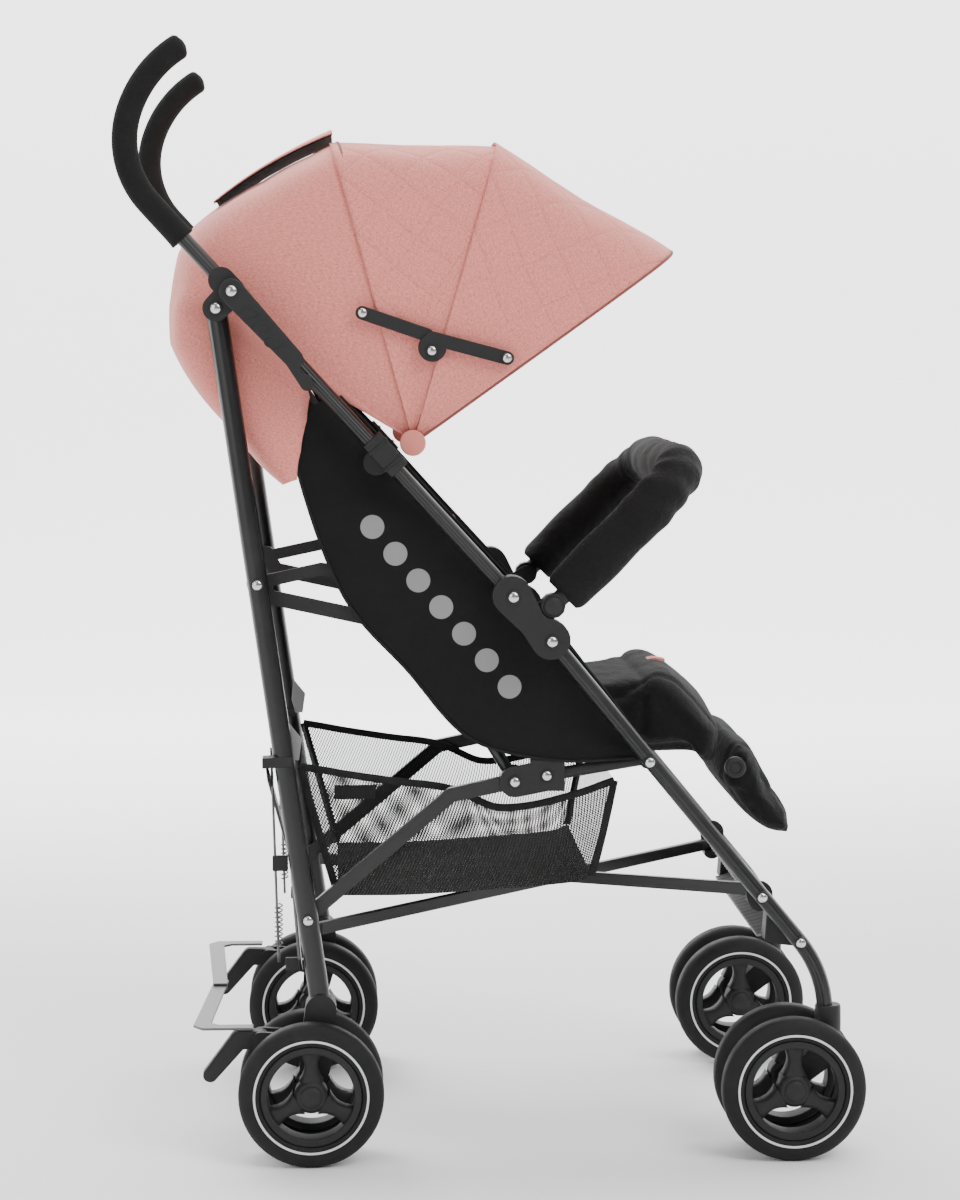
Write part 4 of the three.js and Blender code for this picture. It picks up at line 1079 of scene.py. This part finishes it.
tab = strap("front_tab", [(0.0, -0.158, 0.4585), (0.0, -0.172, 0.4650), (0.0, -0.186, 0.4640)],
            0.020, 0.0012, pink)
attach(tab, "seat_body", narrows=SEAT_NARROWS)
for side in (-1, 1):
    knob = turned(f"{name_of(side)}_calf_button",
                  [(0.0105, -0.004), (0.0105, 0.002), (0.0088, 0.0035), (0.0060, 0.0035), (0.0052, 0.0022),
                   (0.0010, 0.0022)], (side * 0.1395, -0.2415, 0.372), side, plastic, 36)
    attach(knob, "calf_rest", narrows=SEAT_NARROWS)


# ---- brake clamp ----
# The two brake straps lap at the middle of the stroller, where a small steel plate clamps one over the
# other.
cheek("brake_clamp", [(0.2640, 0.1262), (0.2770, 0.1262), (0.2770, 0.1318), (0.2640, 0.1318)],
      -0.013, 0.013, steel, "right_brake_strap", 0.0006)


# ---- floor, light and camera ----
# A white studio sweep that curves up behind the stroller and glows towards its back, four soft lamps, and
# a long lens square to the stroller's side.
def paint_stage(place, uv):
    far = place.split()[0].step(0.5, 3.2)
    return {"Base Color": place.mix(place.noise(0.7, 2.0), (0.86, 0.86, 0.86, 1), (0.89, 0.89, 0.89, 1)),
            "Emission Color": place.mix(far, (0, 0, 0, 1), (1, 1, 1, 1)),
            "Roughness": 0.75 + 0.05 * place.noise(3.0)}


bend = np.linspace(0, math.pi / 2, 13)
profile = np.concatenate([[(-30, 0), (0, 0)],
                          np.stack([3 + 1.6 * np.sin(bend), 1.6 - 1.6 * np.cos(bend)], axis=-1), [(4.6, 30)]])
points = np.array([[(x, y, z) for y in (-40, 40)] for x, z in profile])
sweep = mesh_piece("studio_sweep", points, grid_faces(len(profile), 2),
                   surface("studio_paint", paint_stage, Emission_Strength=2.2))
world = bpy.data.worlds.new("studio")
bpy.context.scene.world = world
world.use_nodes = True
world.node_tree.nodes["Background"].inputs["Color"].default_value = (0.95, 0.97, 1.0, 1)
world.node_tree.nodes["Background"].inputs["Strength"].default_value = 0.32
for label, at, aim, size, power in (("key", (-2.2, -1.7, 2.9), (0, 0, 0.6), 1.8, 85),
                                    ("fill", (-2.6, 1.9, 1.5), (0, 0, 0.5), 2.2, 32),
                                    ("rim", (2.0, 1.2, 2.6), (0, 0, 0.7), 1.5, 60),
                                    ("top", (-0.3, -0.1, 3.4), (0, 0, 0), 2.4, 45)):
    lamp = bpy.data.lights.new(label, "AREA")
    lamp.size, lamp.energy = size, power
    holder = bpy.data.objects.new(label, lamp)
    holder.location = at
    holder.rotation_euler = (Vector(aim) - Vector(at)).to_track_quat("-Z", "Y").to_euler()
    bpy.context.scene.collection.objects.link(holder)

lens = bpy.data.cameras.new("view")
lens.lens, lens.sensor_fit, lens.sensor_height = 87.5, "VERTICAL", 36.0
lens.clip_end = 60.0
camera = bpy.data.objects.new("view", lens)
camera.location = (-2.9694, 0.1533, 0.7943)
yaw, pitch = math.radians(2.892), math.radians(5.157)
look = Vector((math.cos(pitch) * math.cos(yaw), -math.cos(pitch) * math.sin(yaw), -math.sin(pitch)))
camera.rotation_euler = look.to_track_quat("-Z", "Y").to_euler()
bpy.context.scene.collection.objects.link(camera)
bpy.context.scene.camera = camera
bpy.context.scene.render.resolution_x, bpy.context.scene.render.resolution_y = 960, 1200
